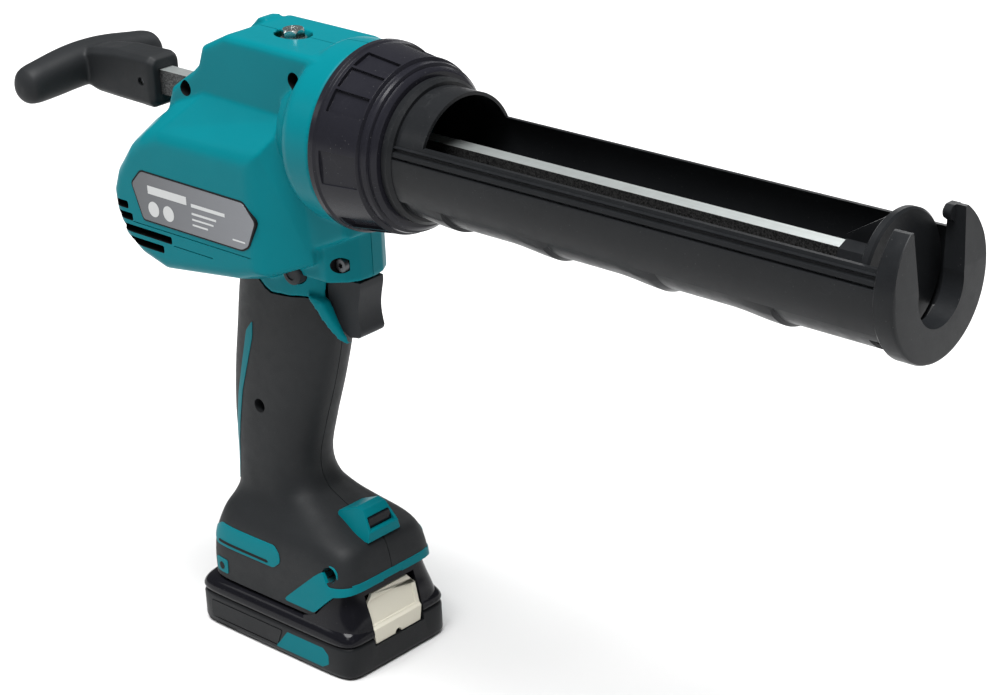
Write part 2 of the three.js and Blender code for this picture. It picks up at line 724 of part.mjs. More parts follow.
addPart('rack_guide', rackGuide(), 'bronze');
addPart('guide_bolt', guideBolt(), 'steel');

// ---------------------------------------------------------------- motor

function motorCan() {
  const front = motorRear + motorLength;
  return rodX(motorRadius, motorRear, front, { z: motorHeight })
    .subtract(rodX(motorRadius - motorWall, motorRear - 1, front - motorWall, { z: motorHeight }))
    .subtract(rodX(motorShaftRadius + 1, front - 5, front + 1, { z: motorHeight, sides: 16 }));
}

function motorEndCap() {
  const ring = rodX(motorRadius, motorRear - 5, motorRear - gap, { z: motorHeight });
  return ring.subtract(rodX(motorShaftRadius + 1.5, motorRear - 6, motorRear + 1, { z: motorHeight, sides: 16 }));
}

function magnet(side) {
  const outer = motorRadius - motorWall - gap;
  const ring = rodX(outer, motorRear + 5, motorRear + motorLength - 6, { z: motorHeight })
    .subtract(rodX(outer - magnetThickness, motorRear, motorRear + motorLength, { z: motorHeight }));
  const clear = 4;
  const half = side > 0 ? [motorHeight + clear, motorHeight + beyond] : [motorHeight - beyond, motorHeight - clear];
  return ring.intersect(box([-beyond * 2, beyond], [-beyond, beyond], half));
}

function rotor() {
  const front = motorRear + motorLength;
  return rodX(rotorRadius, motorRear + 8, front - 9, { z: motorHeight, sides: 24 })
    .add(rodX(6, motorRear + 2, motorRear + 9, { z: motorHeight, sides: 16 }))
    .add(rodX(motorShaftRadius, motorRear - 11, front + 8, { z: motorHeight, sides: 16 }));
}

function coolingFan() {
  const rear = motorRear - 10.5;
  const hub = rodX(5, rear, rear + 4.5, { z: motorHeight, sides: 20 });
  const plate = rodX(fanRadius, rear + 3.3, rear + 4.5, { z: motorHeight, sides: 32 });
  let fan = hub.add(plate);
  const blades = 9;
  for (let blade = 0; blade < blades; blade++) {
    const vane = box([rear, rear + 4], [-0.6, 0.6], [4, fanRadius - 0.5])
      .rotate([360 * blade / blades, 0, 0])
      .translate([0, 0, motorHeight]);
    fan = fan.add(vane);
  }
  return fan.subtract(rodX(motorShaftRadius + gap, rear - 1, rear + 6, { z: motorHeight, sides: 16 }));
}

addPart('motor_can', motorCan(), 'dark_steel');
addPart('motor_end_cap', motorEndCap(), 'black');
addPart('magnet_upper', magnet(1), 'magnet');
addPart('magnet_lower', magnet(-1), 'magnet');
addPart('motor_rotor', rotor(), 'steel');
addPart('cooling_fan', coolingFan(), 'black');

// ---------------------------------------------------------------- trigger, switch and lock

function triggerBody() {
  const rear = triggerRear;
  const shape = new THREE.Shape();
  shape.moveTo(rear, triggerTop - 2);
  shape.lineTo(rear + 2, triggerTop);
  shape.lineTo(triggerFront - 1, triggerTop);
  shape.quadraticCurveTo(triggerFront - 5, (triggerTop + triggerBottom) / 2 + 2, triggerFront, triggerBottom + 5);
  shape.lineTo(triggerFront - 3, triggerBottom);
  shape.lineTo(rear + 8, triggerBottom);
  shape.lineTo(rear, triggerBottom + 14);
  shape.closePath();
  const stem = rodX(2.6, switchFront - 5, rear + 1, { z: stemZ, sides: 16 });
  return prismY(shape, -triggerHalfWidth, triggerHalfWidth).add(stem);
}

class SpringCurve extends THREE.Curve {
  constructor(radius, turns, x0, x1, y, z) {
    super();
    Object.assign(this, { radius, turns, x0, x1, y, z });
  }

  getPoint(t, target = new THREE.Vector3()) {
    const angle = 2 * Math.PI * this.turns * t;
    return target.set(this.x0 + (this.x1 - this.x0) * t,
      this.y + this.radius * Math.cos(angle), this.z + this.radius * Math.sin(angle));
  }
}

function coilSpring(radius, wire, turns, x0, x1, y, z) {
  const section = new THREE.Shape();
  section.absarc(0, 0, wire, 0, 2 * Math.PI);
  const path = new SpringCurve(radius, turns, x0 + wire, x1 - wire, y, z);
  return solidOf(new THREE.ExtrudeGeometry(section, { steps: turns * 8, curveSegments: 2, extrudePath: path }));
}

function switchBody() {
  return box([2, switchFront - gap], [-8.5, 8.5], [triggerBottom, triggerTop - 5])
    .subtract(rodX(3.2, switchFront - triggerTravel - 7, switchFront + 1, { z: stemZ, sides: 16 }));
}

addPart('trigger', triggerBody(), 'black');
addPart('trigger_spring', coilSpring(4.2, 0.4, 4, switchFront + 0.2, triggerRear - 0.3, 0, stemZ), 'steel');
addPart('switch_body', switchBody(), 'black');
addPart('lock_button', rodY(lockButtonRadius, -trunkHalfWidth - lockButtonProud, trunkHalfWidth + lockButtonProud,
  { x: lockButtonX, z: lockButtonZ }), 'black');

// ---------------------------------------------------------------- foot electronics and lamp

const channelRoof = humpTop + 1 + coreWall;

addPart('terminal_block', box([-23.5, 3.5], [-10, 10], [humpTop + 0.4, channelRoof + 3]), 'black');
addPart('controller_board', box([-28, 24], [-15, 15], [channelRoof + 3.5, channelRoof + 5.1]), 'board');

function lampHood() {
  const outline = [[lampFront - 29.5, 52], [lampFront - 15.5, 74], [lampFront - 7.5, 75.8], [lampFront, 64.5],
    [lampFront - 3, 50]];
  const body = prismY(outline, -13, 13);
  const pocket = box([lampFront - 8.8, lampFront + 5], [-8, 8], lampWindow);
  return body.subtract(handleForm(-gap)).subtract(pocket);
}

function inWindow(x0, x1, clear) {
  return box([x0, x1], [-8 + clear, 8 - clear], [lampWindow[0] + clear, lampWindow[1] - clear]);
}

addPart('lamp_hood', lampHood(), 'teal');
addPart('led_board', inWindow(lampFront - 8.5, lampFront - 7.3, 0.5), 'board');
addPart('lamp_lens', inWindow(lampFront - 5.5, lampFront - 3, 0.3), 'lens');

// ---------------------------------------------------------------- battery

const batteryMiddle = (batteryRear + batteryFront) / 2;
const batteryHalfLength = (batteryFront - batteryRear) / 2;

function batteryStations(levels) {
  return levels.map(([at, shrink]) => ({
    at, centre: [batteryMiddle, 0], half: [batteryHalfLength - shrink, batteryHalfWidth - shrink], square: 8,
  }));
}

const cellSpace = { x: [-36, 33], y: [-29, 29] };

function batteryLower() {
  return loft(batteryStations([[0, 1.6], [2, 0], [seamHeight, 0]]), alongZ, 40)
    .subtract(box(cellSpace.x, cellSpace.y, [batteryWall, seamHeight + 1]))
    .subtract(buttonPocket());
}

function humpForm() {
  const outline = [[railFront - 1, shoulderHeight - 6], [batteryFront - 1.5, shoulderHeight - 6],
    [batteryFront - 3, shoulderHeight + 4], [batteryFront - 6.5, humpTop], [railFront - 1, humpTop]];
  return prismY(outline, -humpHalfWidth, humpHalfWidth);
}

const buttonRear = batteryFront - 6.5;
const pocketRear = buttonRear - buttonTravel - gap;

function buttonPocket() {
  return box([pocketRear, batteryFront + 5], [-buttonHalfWidth - gap, buttonHalfWidth + gap],
    [buttonBottom - gap, buttonTop + gap]);
}

function batteryUpper() {
  const seam = seamHeight + gap;
  const lid = loft(batteryStations([[seam, 0], [shoulderHeight - 3, 0.6], [shoulderHeight, 3.5]]), alongZ, 40);
  const rails = box([railRear, railFront], [-railHalfWidth, railHalfWidth], [shoulderHeight - 2, railTop]);
  return lid.add(rails).add(humpForm())
    .subtract(box(cellSpace.x, cellSpace.y, [0, shoulderHeight - batteryWall]))
    .subtract(box([railRear + 2, railFront - 3], [-railHalfWidth + 2, railHalfWidth - 2], [shoulderHeight - 4, railTop - 2]))
    .subtract(buttonPocket());
}

function releaseButton() {
  const outline = [[buttonRear, buttonBottom], [batteryFront - 1, buttonBottom],
    [batteryFront - 0.6, buttonBottom + 12], [batteryFront - 5, buttonTop], [buttonRear, buttonTop]];
  return prismY(outline, -buttonHalfWidth, buttonHalfWidth);
}

addPart('battery_lower_case', batteryLower(), 'black');
addPart('battery_upper_case', batteryUpper(), 'smoke');
['cell_right', 'cell_middle', 'cell_left'].forEach((name, index) => {
  const spacing = 2 * cellRadius + 0.7;
  const cell = rodX(cellRadius, cellSpace.x[0] + 2, cellSpace.x[0] + 2 + cellLength,
    { y: spacing * (index - 1), z: batteryWall + gap + cellRadius, sides: 24 });
  addPart(name, cell, 'cell');
});
addPart('battery_board', box([-28, 34], [-14, 14], [shoulderHeight + 2, shoulderHeight + 3.6]), 'board');
addPart('release_button', releaseButton(), 'cream');
addPart('release_spring', coilSpring(3, 0.35, 2, pocketRear + 0.1, buttonRear - 0.1, 0, 24), 'steel');

// ---------------------------------------------------------------- screws

for (const [name, { x, z, seat }] of Object.entries(screwPlaces)) {
  const head = rodY(screwHead, -seat - gap - screwHeadHeight, -seat - gap, { x, z })
    .subtract(rodY(1.5, -seat - gap - screwHeadHeight - 1, -seat - gap - 1, { x, z, sides: 6 }));
  addPart(name, head.add(rodY(screwShank, -seat - gap - 1, seat + 2.5, { x, z, sides: 12 })), 'dark_steel');
}

export default model;
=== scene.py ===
"""Shells, trims and finishes of a cordless caulking gun, built around its frame.

Sizes in the operators are millimetres; every mesh is stored in metres, in the frame's own axes:
+X along the barrel, +Y to the tool's left, +Z up, with the battery standing on z = 0.
"""

import math

import bmesh
import bpy
from mathutils import Matrix, Vector


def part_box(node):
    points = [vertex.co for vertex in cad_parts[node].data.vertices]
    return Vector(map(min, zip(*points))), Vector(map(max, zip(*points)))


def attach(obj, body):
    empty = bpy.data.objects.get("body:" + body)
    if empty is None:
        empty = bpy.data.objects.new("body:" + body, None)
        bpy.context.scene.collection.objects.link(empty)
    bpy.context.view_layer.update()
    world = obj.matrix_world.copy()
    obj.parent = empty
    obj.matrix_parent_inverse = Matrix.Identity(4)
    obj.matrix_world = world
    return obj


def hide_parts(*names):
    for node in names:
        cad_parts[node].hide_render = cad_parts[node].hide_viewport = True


bl_info = {
    "name": "Cordless Caulking Gun",
    "version": (1, 0, 0),
    "blender": (4, 5, 0),
    "location": "3D View > Sidebar > Caulking Gun",
    "description": "Builds the shells, trims and finishes of a cordless caulking gun",
    "category": "Add Mesh",
}

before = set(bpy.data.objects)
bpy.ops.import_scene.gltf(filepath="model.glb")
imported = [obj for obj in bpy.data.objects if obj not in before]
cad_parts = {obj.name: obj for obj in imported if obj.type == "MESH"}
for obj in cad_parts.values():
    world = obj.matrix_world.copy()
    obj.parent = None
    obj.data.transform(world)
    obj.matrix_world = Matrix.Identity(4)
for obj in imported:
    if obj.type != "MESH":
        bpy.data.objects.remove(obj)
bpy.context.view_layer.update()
MM = 0.001


def low(node):
    """Lowest corner of a frame node in millimetres."""
    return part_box(node)[0] / MM


def high(node):
    """Highest corner of a frame node in millimetres."""
    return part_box(node)[1] / MM


RING_RADIUS = (high("locking_ring").z - low("locking_ring").z) / 2
AXIS = low("locking_ring").z + RING_RADIUS

# ---------------------------------------------------------------- sizes and colours


class GunSizes(bpy.types.PropertyGroup):
    holder_radius: bpy.props.FloatProperty(
        name="Holder radius", description="Outside of the cartridge holder",
        default=(high("end_cap").y - 0.9) * MM, unit="LENGTH")
    holder_wall: bpy.props.FloatProperty(
        name="Holder wall", description="Wall of the cartridge holder",
        default=2.8 * MM, unit="LENGTH")
    open_edge: bpy.props.FloatProperty(
        name="Open edge", description="Height of the holder's open edge above the barrel axis",
        default=11.4 * MM, unit="LENGTH")
    body_half_width: bpy.props.FloatProperty(
        name="Gear housing half width", description="Half the width of the upper housing",
        default=21 * MM, unit="LENGTH")
    motor_half_width: bpy.props.FloatProperty(
        name="Motor housing half width", description="Half the width across the motor",
        default=34 * MM, unit="LENGTH")
    split: bpy.props.FloatProperty(
        name="Housing joint", description="Gap between the two housing halves",
        default=0.35 * MM, unit="LENGTH")


class GunColours(bpy.types.PropertyGroup):
    teal: bpy.props.FloatVectorProperty(
        name="Teal plastic", description="Housing and trims", subtype="COLOR", size=3,
        default=(0.0010, 0.142, 0.170), min=0, max=1)
    black: bpy.props.FloatVectorProperty(
        name="Black plastic", description="Holder, cap, piston and trigger", subtype="COLOR", size=3,
        default=(0.010, 0.0108, 0.012), min=0, max=1)
    smoke: bpy.props.FloatVectorProperty(
        name="Smoke plastic", description="Locking ring", subtype="COLOR", size=3,
        default=(0.012, 0.012, 0.016), min=0, max=1)
    rubber: bpy.props.FloatVectorProperty(
        name="Rubber", description="Grip cover", subtype="COLOR", size=3,
        default=(0.0125, 0.0137, 0.015), min=0, max=1)
    cream: bpy.props.FloatVectorProperty(
        name="Cream plastic", description="Battery release button", subtype="COLOR", size=3,
        default=(0.66, 0.63, 0.53), min=0, max=1)
    zinc: bpy.props.FloatVectorProperty(
        name="Zinc", description="Rack and bolt", subtype="COLOR", size=3,
        default=(0.60, 0.64, 0.63), min=0, max=1)
    plate: bpy.props.FloatVectorProperty(
        name="Name plate", description="Rating plate on the motor housing", subtype="COLOR", size=3,
        default=(0.115, 0.12, 0.13), min=0, max=1)


# ---------------------------------------------------------------- mesh helpers

ALONG = {
    "X": lambda u, v, at: Vector((at, u, v)),
    "Y": lambda u, v, at: Vector((u, at, v)),
    "Z": lambda u, v, at: Vector((u, v, at)),
}


def verts_in(made):
    return [item for item in made if isinstance(item, bmesh.types.BMVert)]


def tidy(bm):
    bmesh.ops.remove_doubles(bm, verts=bm.verts, dist=1e-4)
    bmesh.ops.recalc_face_normals(bm, faces=bm.faces)
    return bm


def round_edges(bm, edges, width, steps=3):
    bmesh.ops.bevel(bm, geom=list(edges), offset=width, offset_type="OFFSET", affect="EDGES",
                    segments=steps, profile=0.5, material=-1)


def prism(axis, outline, start, end, corner=0, edge=0, steps=3):
    """Straight body from an outline, with rounded corners and rounded rims."""
    bm = bmesh.new()
    place = ALONG[axis]
    bm.faces.new([bm.verts.new(place(u, v, start)) for u, v in outline])
    if corner:
        bmesh.ops.bevel(bm, geom=list(bm.verts), offset=corner, offset_type="OFFSET",
                        affect="VERTICES", segments=4, profile=0.5, material=-1)
    made = bmesh.ops.extrude_face_region(bm, geom=list(bm.faces))["geom"]
    bmesh.ops.translate(bm, verts=verts_in(made), vec=place(0, 0, end - start))
    if edge:
        across = place(0, 0, 1)
        rims = [e for e in bm.edges if abs((e.verts[0].co - e.verts[1].co).dot(across)) < 1e-5]
        round_edges(bm, rims, edge, steps)
    return tidy(bm)


def block(x, y, z, edge=0, steps=3):
    bm = bmesh.new()
    size = Vector((x[1] - x[0], y[1] - y[0], z[1] - z[0]))
    middle = Vector((x[0] + x[1], y[0] + y[1], z[0] + z[1])) / 2
    bmesh.ops.create_cube(bm, size=1, matrix=Matrix.Translation(middle) @ Matrix.Diagonal(size).to_4x4())
    if edge:
        round_edges(bm, bm.edges, edge, steps)
    return tidy(bm)


TURNS = {
    "X": Matrix.Rotation(math.radians(90), 4, "Y"),
    "Y": Matrix.Rotation(math.radians(-90), 4, "X"),
    "Z": Matrix.Identity(4),
}


def rod(axis, radius, start, end, centre=(0, 0), end_radius=None, sides=48, edge=0):
    """Round bar between two places on an axis; centre is its place across that axis."""
    bm = bmesh.new()
    middle = ALONG[axis](centre[0], centre[1], (start + end) / 2)
    bmesh.ops.create_cone(bm, cap_ends=True, segments=sides, radius1=radius,
                          radius2=radius if end_radius is None else end_radius, depth=end - start,
                          matrix=Matrix.Translation(middle) @ TURNS[axis])
    if edge:
        rims = [e for e in bm.edges if len(e.link_faces) == 2 and any(len(f.verts) > 4 for f in e.link_faces)]
        round_edges(bm, rims, edge)
    return tidy(bm)


def squared(value, power):
    return math.copysign(abs(value) ** (2 / power), value) if abs(value) > 1e-6 else 0.0


def between(stations, steps):
    """Stations filled in smoothly: each holds its place, centre, half sizes and squareness."""
    flat = [(at, *centre, *half, square) for at, centre, half, square in stations]
    filled = []
    for index in range(len(flat) - 1):
        a, b = flat[index], flat[index + 1]
        before = flat[max(index - 1, 0)]
        after = flat[min(index + 2, len(flat) - 1)]
        for step in range(steps):
            t = step / steps
            row = [a[0] + (b[0] - a[0]) * t]
            for k in range(1, 6):
                reach = b[0] - a[0]
                slope_a = (b[k] - before[k]) / (b[0] - before[0]) * reach
                slope_b = (after[k] - a[k]) / (after[0] - a[0]) * reach
                row.append((2 * t**3 - 3 * t**2 + 1) * a[k] + (t**3 - 2 * t**2 + t) * slope_a
                           + (3 * t**2 - 2 * t**3) * b[k] + (t**3 - t**2) * slope_b)
            filled.append(row)
    filled.append(list(flat[-1]))
    return [(r[0], (r[1], r[2]), (r[3], r[4]), r[5]) for r in filled]


def loft(axis, stations, sides=64, grow=0):
    """Closed body through rounded sections."""
    bm = bmesh.new()
    place = ALONG[axis]
    loops = []
    for at, centre, half, square in stations:
        made = bmesh.ops.create_circle(bm, cap_ends=False, radius=1, segments=sides)["verts"]
        for vert in made:
            u = centre[0] + (half[0] + grow) * squared(vert.co.x, square)
            v = centre[1] + (half[1] + grow) * squared(vert.co.y, square)
            vert.co = place(u, v, at)
        loops.append(list({edge for vert in made for edge in vert.link_edges}))
    return bridged(bm, loops)


def bridged(bm, loops):
    for one, two in zip(loops, loops[1:]):
        bmesh.ops.bridge_loops(bm, edges=one + two)
    bmesh.ops.holes_fill(bm, edges=loops[0] + loops[-1], sides=0)
    return tidy(bm)


def facet_loft(axis, sections):
    """Closed body through straight-sided sections; each is (place, outline)."""
    bm = bmesh.new()
    place = ALONG[axis]
    loops = []
    for at, outline in sections:
        made = [bm.verts.new(place(u, v, at)) for u, v in outline]
        loops.append([bm.edges.new((a, b)) for a, b in zip(made, made[1:] + made[:1])])
    return bridged(bm, loops)


def turned(profile, centre=None, sides=128):
    """Body turned about an axis along X; the profile is [x, radius] points round its wall."""
    z = AXIS if centre is None else centre
    bm = bmesh.new()
    verts = [bm.verts.new((x, 0, z + radius)) for x, radius in profile]
    edges = [bm.edges.new((a, b)) for a, b in zip(verts, verts[1:] + verts[:1])]
    bmesh.ops.spin(bm, geom=verts + edges, cent=(0, 0, z), axis=(1, 0, 0), angle=2 * math.pi,
                   steps=sides, use_merge=True, use_duplicate=False)
    return tidy(bm)


def joined(*meshes):
    whole = bmesh.new()
    for bm in meshes:
        mesh = bpy.data.meshes.new("part")
        bm.to_mesh(mesh)
        whole.from_mesh(mesh)
        bm.free()
        bpy.data.meshes.remove(mesh)
    return whole


# ---------------------------------------------------------------- object helpers


def as_object(bm, name):
    mesh = bpy.data.meshes.new(name)
    bm.to_mesh(mesh)
    bm.free()
    thing = bpy.data.objects.new(name, mesh)
    bpy.context.scene.collection.objects.link(thing)
    return thing


def settled(thing):
    """Turns the modifiers into the mesh itself."""
    graph = bpy.context.evaluated_depsgraph_get()
    graph.update()
    mesh = bpy.data.meshes.new_from_object(thing.evaluated_get(graph))
    thing.modifiers.clear()
    old, thing.data = thing.data, mesh
    bpy.data.meshes.remove(old)
    mesh.name = thing.name
    return thing


def closed(mesh):
    bm = bmesh.new()
    bm.from_mesh(mesh)
    whole = all(edge.is_manifold for edge in bm.edges)
    bm.free()
    return whole


def combine(thing, bm, operation):
    tool = as_object(bm, "tool")
    step = thing.modifiers.new("combine", "BOOLEAN")
    step.operation = operation
    step.solver = "MANIFOLD" if closed(tool.data) and closed(thing.data) else "EXACT"
    step.object = tool
    settled(thing)
    mesh = tool.data
    bpy.data.objects.remove(tool)
    bpy.data.meshes.remove(mesh)
    return thing


def cut(thing, *meshes):
    for bm in meshes:
        combine(thing, bm, "DIFFERENCE")
    return thing


def lined(thing, outer, inner, *meshes):
    """Cuts openings whose walls wear the inner finish, a near-black painted shade standing in for the shade
    inside the openings.
    """
    slots = [bpy.data.materials[f"finish_{outer}"], bpy.data.materials[f"finish_{inner}"]]
    if not any(thing.data.materials):
        thing.data.materials.clear()
        for material in slots:
            thing.data.materials.append(material)
    for bm in meshes:
        for face in bm.faces:
            face.material_index = 1
        tool = as_object(bm, "tool")
        for material in slots:
            tool.data.materials.append(material)
        step = thing.modifiers.new("combine", "BOOLEAN")
        step.operation = "DIFFERENCE"
        step.solver = "MANIFOLD"
        step.object = tool
        settled(thing)
        mesh = tool.data
        bpy.data.objects.remove(tool)
        bpy.data.meshes.remove(mesh)
    return thing


def fuse(thing, *meshes):
    for bm in meshes:
        combine(thing, bm, "UNION")
    return thing


def keep(thing, bm):
    return combine(thing, bm, "INTERSECT")


def taken(thing):
    """The mesh of a piece whose object is no longer needed."""
    bm = bmesh.new()
    bm.from_mesh(thing.data)
    bpy.data.objects.remove(thing)
    return bm


def halves(thing, gap):
    """Right and left half of a piece that is cut down the middle, each closed again and named after its side."""
    whole = taken(thing)
    for side, sign in (("right", -1), ("left", 1)):
        bm = whole.copy()
        made = bmesh.ops.bisect_plane(bm, geom=list(bm.verts) + list(bm.edges) + list(bm.faces),
                                      plane_co=(0, sign * gap, 0), plane_no=(0, -sign, 0),
                                      clear_outer=True)["geom_cut"]
        rim = [g for g in made if isinstance(g, bmesh.types.BMEdge)]
        bmesh.ops.triangle_fill(bm, edges=rim, use_beauty=True)
        bmesh.ops.recalc_face_normals(bm, faces=bm.faces)
        yield side, bm
    whole.free()


def moulded(thing, voxel, rounds):
    """Runs a joined form together like a moulding, with soft inner and outer corners."""
    remesh = thing.modifiers.new("remesh", "REMESH")
    remesh.mode = "VOXEL"
    remesh.voxel_size = voxel
    soften = thing.modifiers.new("soften", "SMOOTH")
    soften.factor = 0.5
    soften.iterations = rounds
    return settled(thing)


def finish(thing, body, finish_name, replaces=(), bevel=0, angle=35, steps=2):
    """Scales a piece to metres, gives it its finish and puts it on its body."""
    thing.data.transform(Matrix.Scale(MM, 4))
    if not any(thing.data.materials):
        thing.data.materials.clear()
        thing.data.materials.append(bpy.data.materials[f"finish_{finish_name}"])
    thing.data.shade_smooth()
    thing.data.set_sharp_from_angle(angle=math.radians(angle))
    if bevel:
        edge = thing.modifiers.new("edges", "BEVEL")
        edge.width = bevel * MM
        edge.segments = steps
        edge.limit_method = "ANGLE"
        edge.angle_limit = math.radians(angle)
        edge.use_clamp_overlap = True
        edge.harden_normals = False
        weights = thing.modifiers.new("shading", "WEIGHTED_NORMAL")
        weights.keep_sharp = True
    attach(thing, body)
    for node in replaces:
        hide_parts(node)
    return thing


# ---------------------------------------------------------------- shader groups


def group_of(name, inputs, outputs):
    tree = bpy.data.node_groups.new(name, "ShaderNodeTree")
    for label, kind, value in inputs:
        socket = tree.interface.new_socket(label, in_out="INPUT", socket_type=kind)
        if value is not None:
            socket.default_value = value
    for label, kind in outputs:
        tree.interface.new_socket(label, in_out="OUTPUT", socket_type=kind)
    return tree, tree.nodes.new("NodeGroupInput"), tree.nodes.new("NodeGroupOutput")


def add(tree, kind, inputs=(), **settings):
    node = tree.nodes.new(kind)
    for key, value in settings.items():
        setattr(node, key, value)
    for key, value in dict(inputs).items():
        if isinstance(value, bpy.types.NodeSocket):
            tree.links.new(value, node.inputs[key])
        else:
            node.inputs[key].default_value = value
    return node


def mix_colour(tree, factor, one, two, blend="MIX"):
    node = tree.nodes.new("ShaderNodeMix")
    node.data_type = "RGBA"
    node.blend_type = blend
    for socket, value in ((node.inputs[0], factor), (node.inputs[6], one), (node.inputs[7], two)):
        if isinstance(value, bpy.types.NodeSocket):
            tree.links.new(value, socket)
        else:
            socket.default_value = value
    return node.outputs[2]


def maths(tree, operation, a, b=0.0, clamp=False):
    node = tree.nodes.new("ShaderNodeMath")
    node.operation = operation
    node.use_clamp = clamp
    for socket, value in ((node.inputs[0], a), (node.inputs[1], b)):
        if isinstance(value, bpy.types.NodeSocket):
            tree.links.new(value, socket)
        else:
            socket.default_value = value
    return node.outputs[0]


def ramp(tree, value, low_end, high_end, low_out=0.0, high_out=1.0):
    node = add(tree, "ShaderNodeMapRange", {"Value": value, "From Min": low_end, "From Max": high_end,
                                            "To Min": low_out, "To Max": high_out})
    node.clamp = True
    return node.outputs[0]


def make_grain_group():
    """Fine moulded texture with slow changes of tone and gloss."""
    tree, given, out = group_of(
        "Moulded Grain",
        [("Vector", "NodeSocketVector", None), ("Colour", "NodeSocketColor", (0.1, 0.1, 0.1, 1)),
         ("Grain", "NodeSocketFloat", 2200.0), ("Tone", "NodeSocketFloat", 0.15),
         ("Roughness", "NodeSocketFloat", 0.45), ("Gloss Change", "NodeSocketFloat", 0.12)],
        [("Colour", "NodeSocketColor"), ("Roughness", "NodeSocketFloat"), ("Height", "NodeSocketFloat")])
    fine = add(tree, "ShaderNodeTexNoise",
               {"Vector": given.outputs["Vector"], "Scale": given.outputs["Grain"],
                                            "Detail": 3.0, "Roughness": 0.6})
    slow = add(tree, "ShaderNodeTexNoise", {"Vector": given.outputs["Vector"], "Scale": 38.0, "Detail": 4.0,
                                            "Roughness": 0.55})
    handled = add(tree, "ShaderNodeTexNoise", {"Vector": given.outputs["Vector"], "Scale": 210.0,
                                               "Detail": 5.0, "Roughness": 0.65})
    tone = maths(tree, "MULTIPLY", maths(tree, "SUBTRACT", slow.outputs["Fac"], 0.5), given.outputs["Tone"])
    speck = maths(tree, "MULTIPLY", maths(tree, "SUBTRACT", fine.outputs["Fac"], 0.5),
                  maths(tree, "MULTIPLY", given.outputs["Tone"], 0.7))
    bright = maths(tree, "ADD", 1.0, maths(tree, "ADD", tone, speck))
    colour = add(tree, "ShaderNodeVectorMath", {0: given.outputs["Colour"]}, operation="SCALE")
    tree.links.new(bright, colour.inputs["Scale"])
    tree.links.new(colour.outputs[0], out.inputs["Colour"])
    change = maths(tree, "MULTIPLY", maths(tree, "SUBTRACT", handled.outputs["Fac"], 0.5),
                   maths(tree, "MULTIPLY", given.outputs["Gloss Change"], 2.0))
    rough = maths(tree, "ADD", given.outputs["Roughness"], change, clamp=True)
    tree.links.new(rough, out.inputs["Roughness"])
    tree.links.new(fine.outputs["Fac"], out.inputs["Height"])
    return tree


def make_scuff_group():
    """Sparse thin scuffs and dust that lie over a smooth finish."""
    tree, given, out = group_of(
        "Light Scuffs",
        [("Vector", "NodeSocketVector", None), ("Amount", "NodeSocketFloat", 0.3),
         ("Size", "NodeSocketFloat", 260.0)],
        [("Mask", "NodeSocketFloat"), ("Dust", "NodeSocketFloat")])
    warp = add(tree, "ShaderNodeTexNoise", {"Vector": given.outputs["Vector"], "Scale": 60.0, "Detail": 2.0})
    shifted = add(tree, "ShaderNodeVectorMath", {0: given.outputs["Vector"]}, operation="ADD")
    push = add(tree, "ShaderNodeVectorMath", {0: warp.outputs["Color"]}, operation="SCALE")
    push.inputs["Scale"].default_value = 0.012
    tree.links.new(push.outputs[0], shifted.inputs[1])
    lines = add(tree, "ShaderNodeTexVoronoi", {"Vector": shifted.outputs[0], "Scale": given.outputs["Size"]},
                feature="DISTANCE_TO_EDGE")
    patches = add(tree, "ShaderNodeTexNoise", {"Vector": given.outputs["Vector"], "Scale": 95.0,
                                               "Detail": 3.0})
    thin = ramp(tree, lines.outputs["Distance"], 0.0, 0.03, 1.0, 0.0)
    where = ramp(tree, patches.outputs["Fac"], 0.56, 0.7)
    mask = maths(tree, "MULTIPLY", maths(tree, "MULTIPLY", thin, where), given.outputs["Amount"])
    tree.links.new(mask, out.inputs["Mask"])
    specks = add(tree, "ShaderNodeTexVoronoi", {"Vector": given.outputs["Vector"], "Scale": 520.0})
    dots = ramp(tree, specks.outputs["Distance"], 0.05, 0.13, 1.0, 0.0)
    some = add(tree, "ShaderNodeTexNoise", {"Vector": given.outputs["Vector"], "Scale": 330.0, "Detail": 1.0})
    dust = maths(tree, "MULTIPLY", maths(tree, "MULTIPLY", dots, ramp(tree, some.outputs["Fac"], 0.5, 0.62)),
                 given.outputs["Amount"])
    tree.links.new(dust, out.inputs["Dust"])
    return tree


def make_drawn_group():
    """Long fine lines of a drawn or rolled bar, running along X."""
    tree, given, out = group_of(
        "Drawn Metal",
        [("Vector", "NodeSocketVector", None), ("Strength", "NodeSocketFloat", 0.3)],
        [("Value", "NodeSocketFloat"), ("Height", "NodeSocketFloat")])
    stretch = add(tree, "ShaderNodeMapping", {"Vector": given.outputs["Vector"], "Scale": (14.0, 900.0,
                                                                                           900.0)})
    lines = add(tree, "ShaderNodeTexNoise", {"Vector": stretch.outputs[0], "Scale": 1.0, "Detail": 4.0,
                                             "Roughness": 0.7})
    cloud = add(tree, "ShaderNodeTexNoise", {"Vector": given.outputs["Vector"], "Scale": 170.0,
                                             "Detail": 4.0})
    mixed = maths(tree, "ADD", maths(tree, "MULTIPLY", lines.outputs["Fac"], 0.65),
                  maths(tree, "MULTIPLY", cloud.outputs["Fac"], 0.35))
    value = maths(tree, "ADD", 1.0, maths(tree, "MULTIPLY", maths(tree, "SUBTRACT", mixed, 0.5),
                                         given.outputs["Strength"]))
    tree.links.new(value, out.inputs["Value"])
    tree.links.new(lines.outputs["Fac"], out.inputs["Height"])
    return tree


# ---------------------------------------------------------------- finishes


def blank(name):
    material = bpy.data.materials.new(f"finish_{name}")
    material.use_nodes = True
    tree = material.node_tree
    tree.nodes.clear()
    surface = tree.nodes.new("ShaderNodeBsdfPrincipled")
    out = tree.nodes.new("ShaderNodeOutputMaterial")
    tree.links.new(surface.outputs[0], out.inputs["Surface"])
    coords = tree.nodes.new("ShaderNodeTexCoord")
    return material, tree, surface, coords.outputs["Object"]


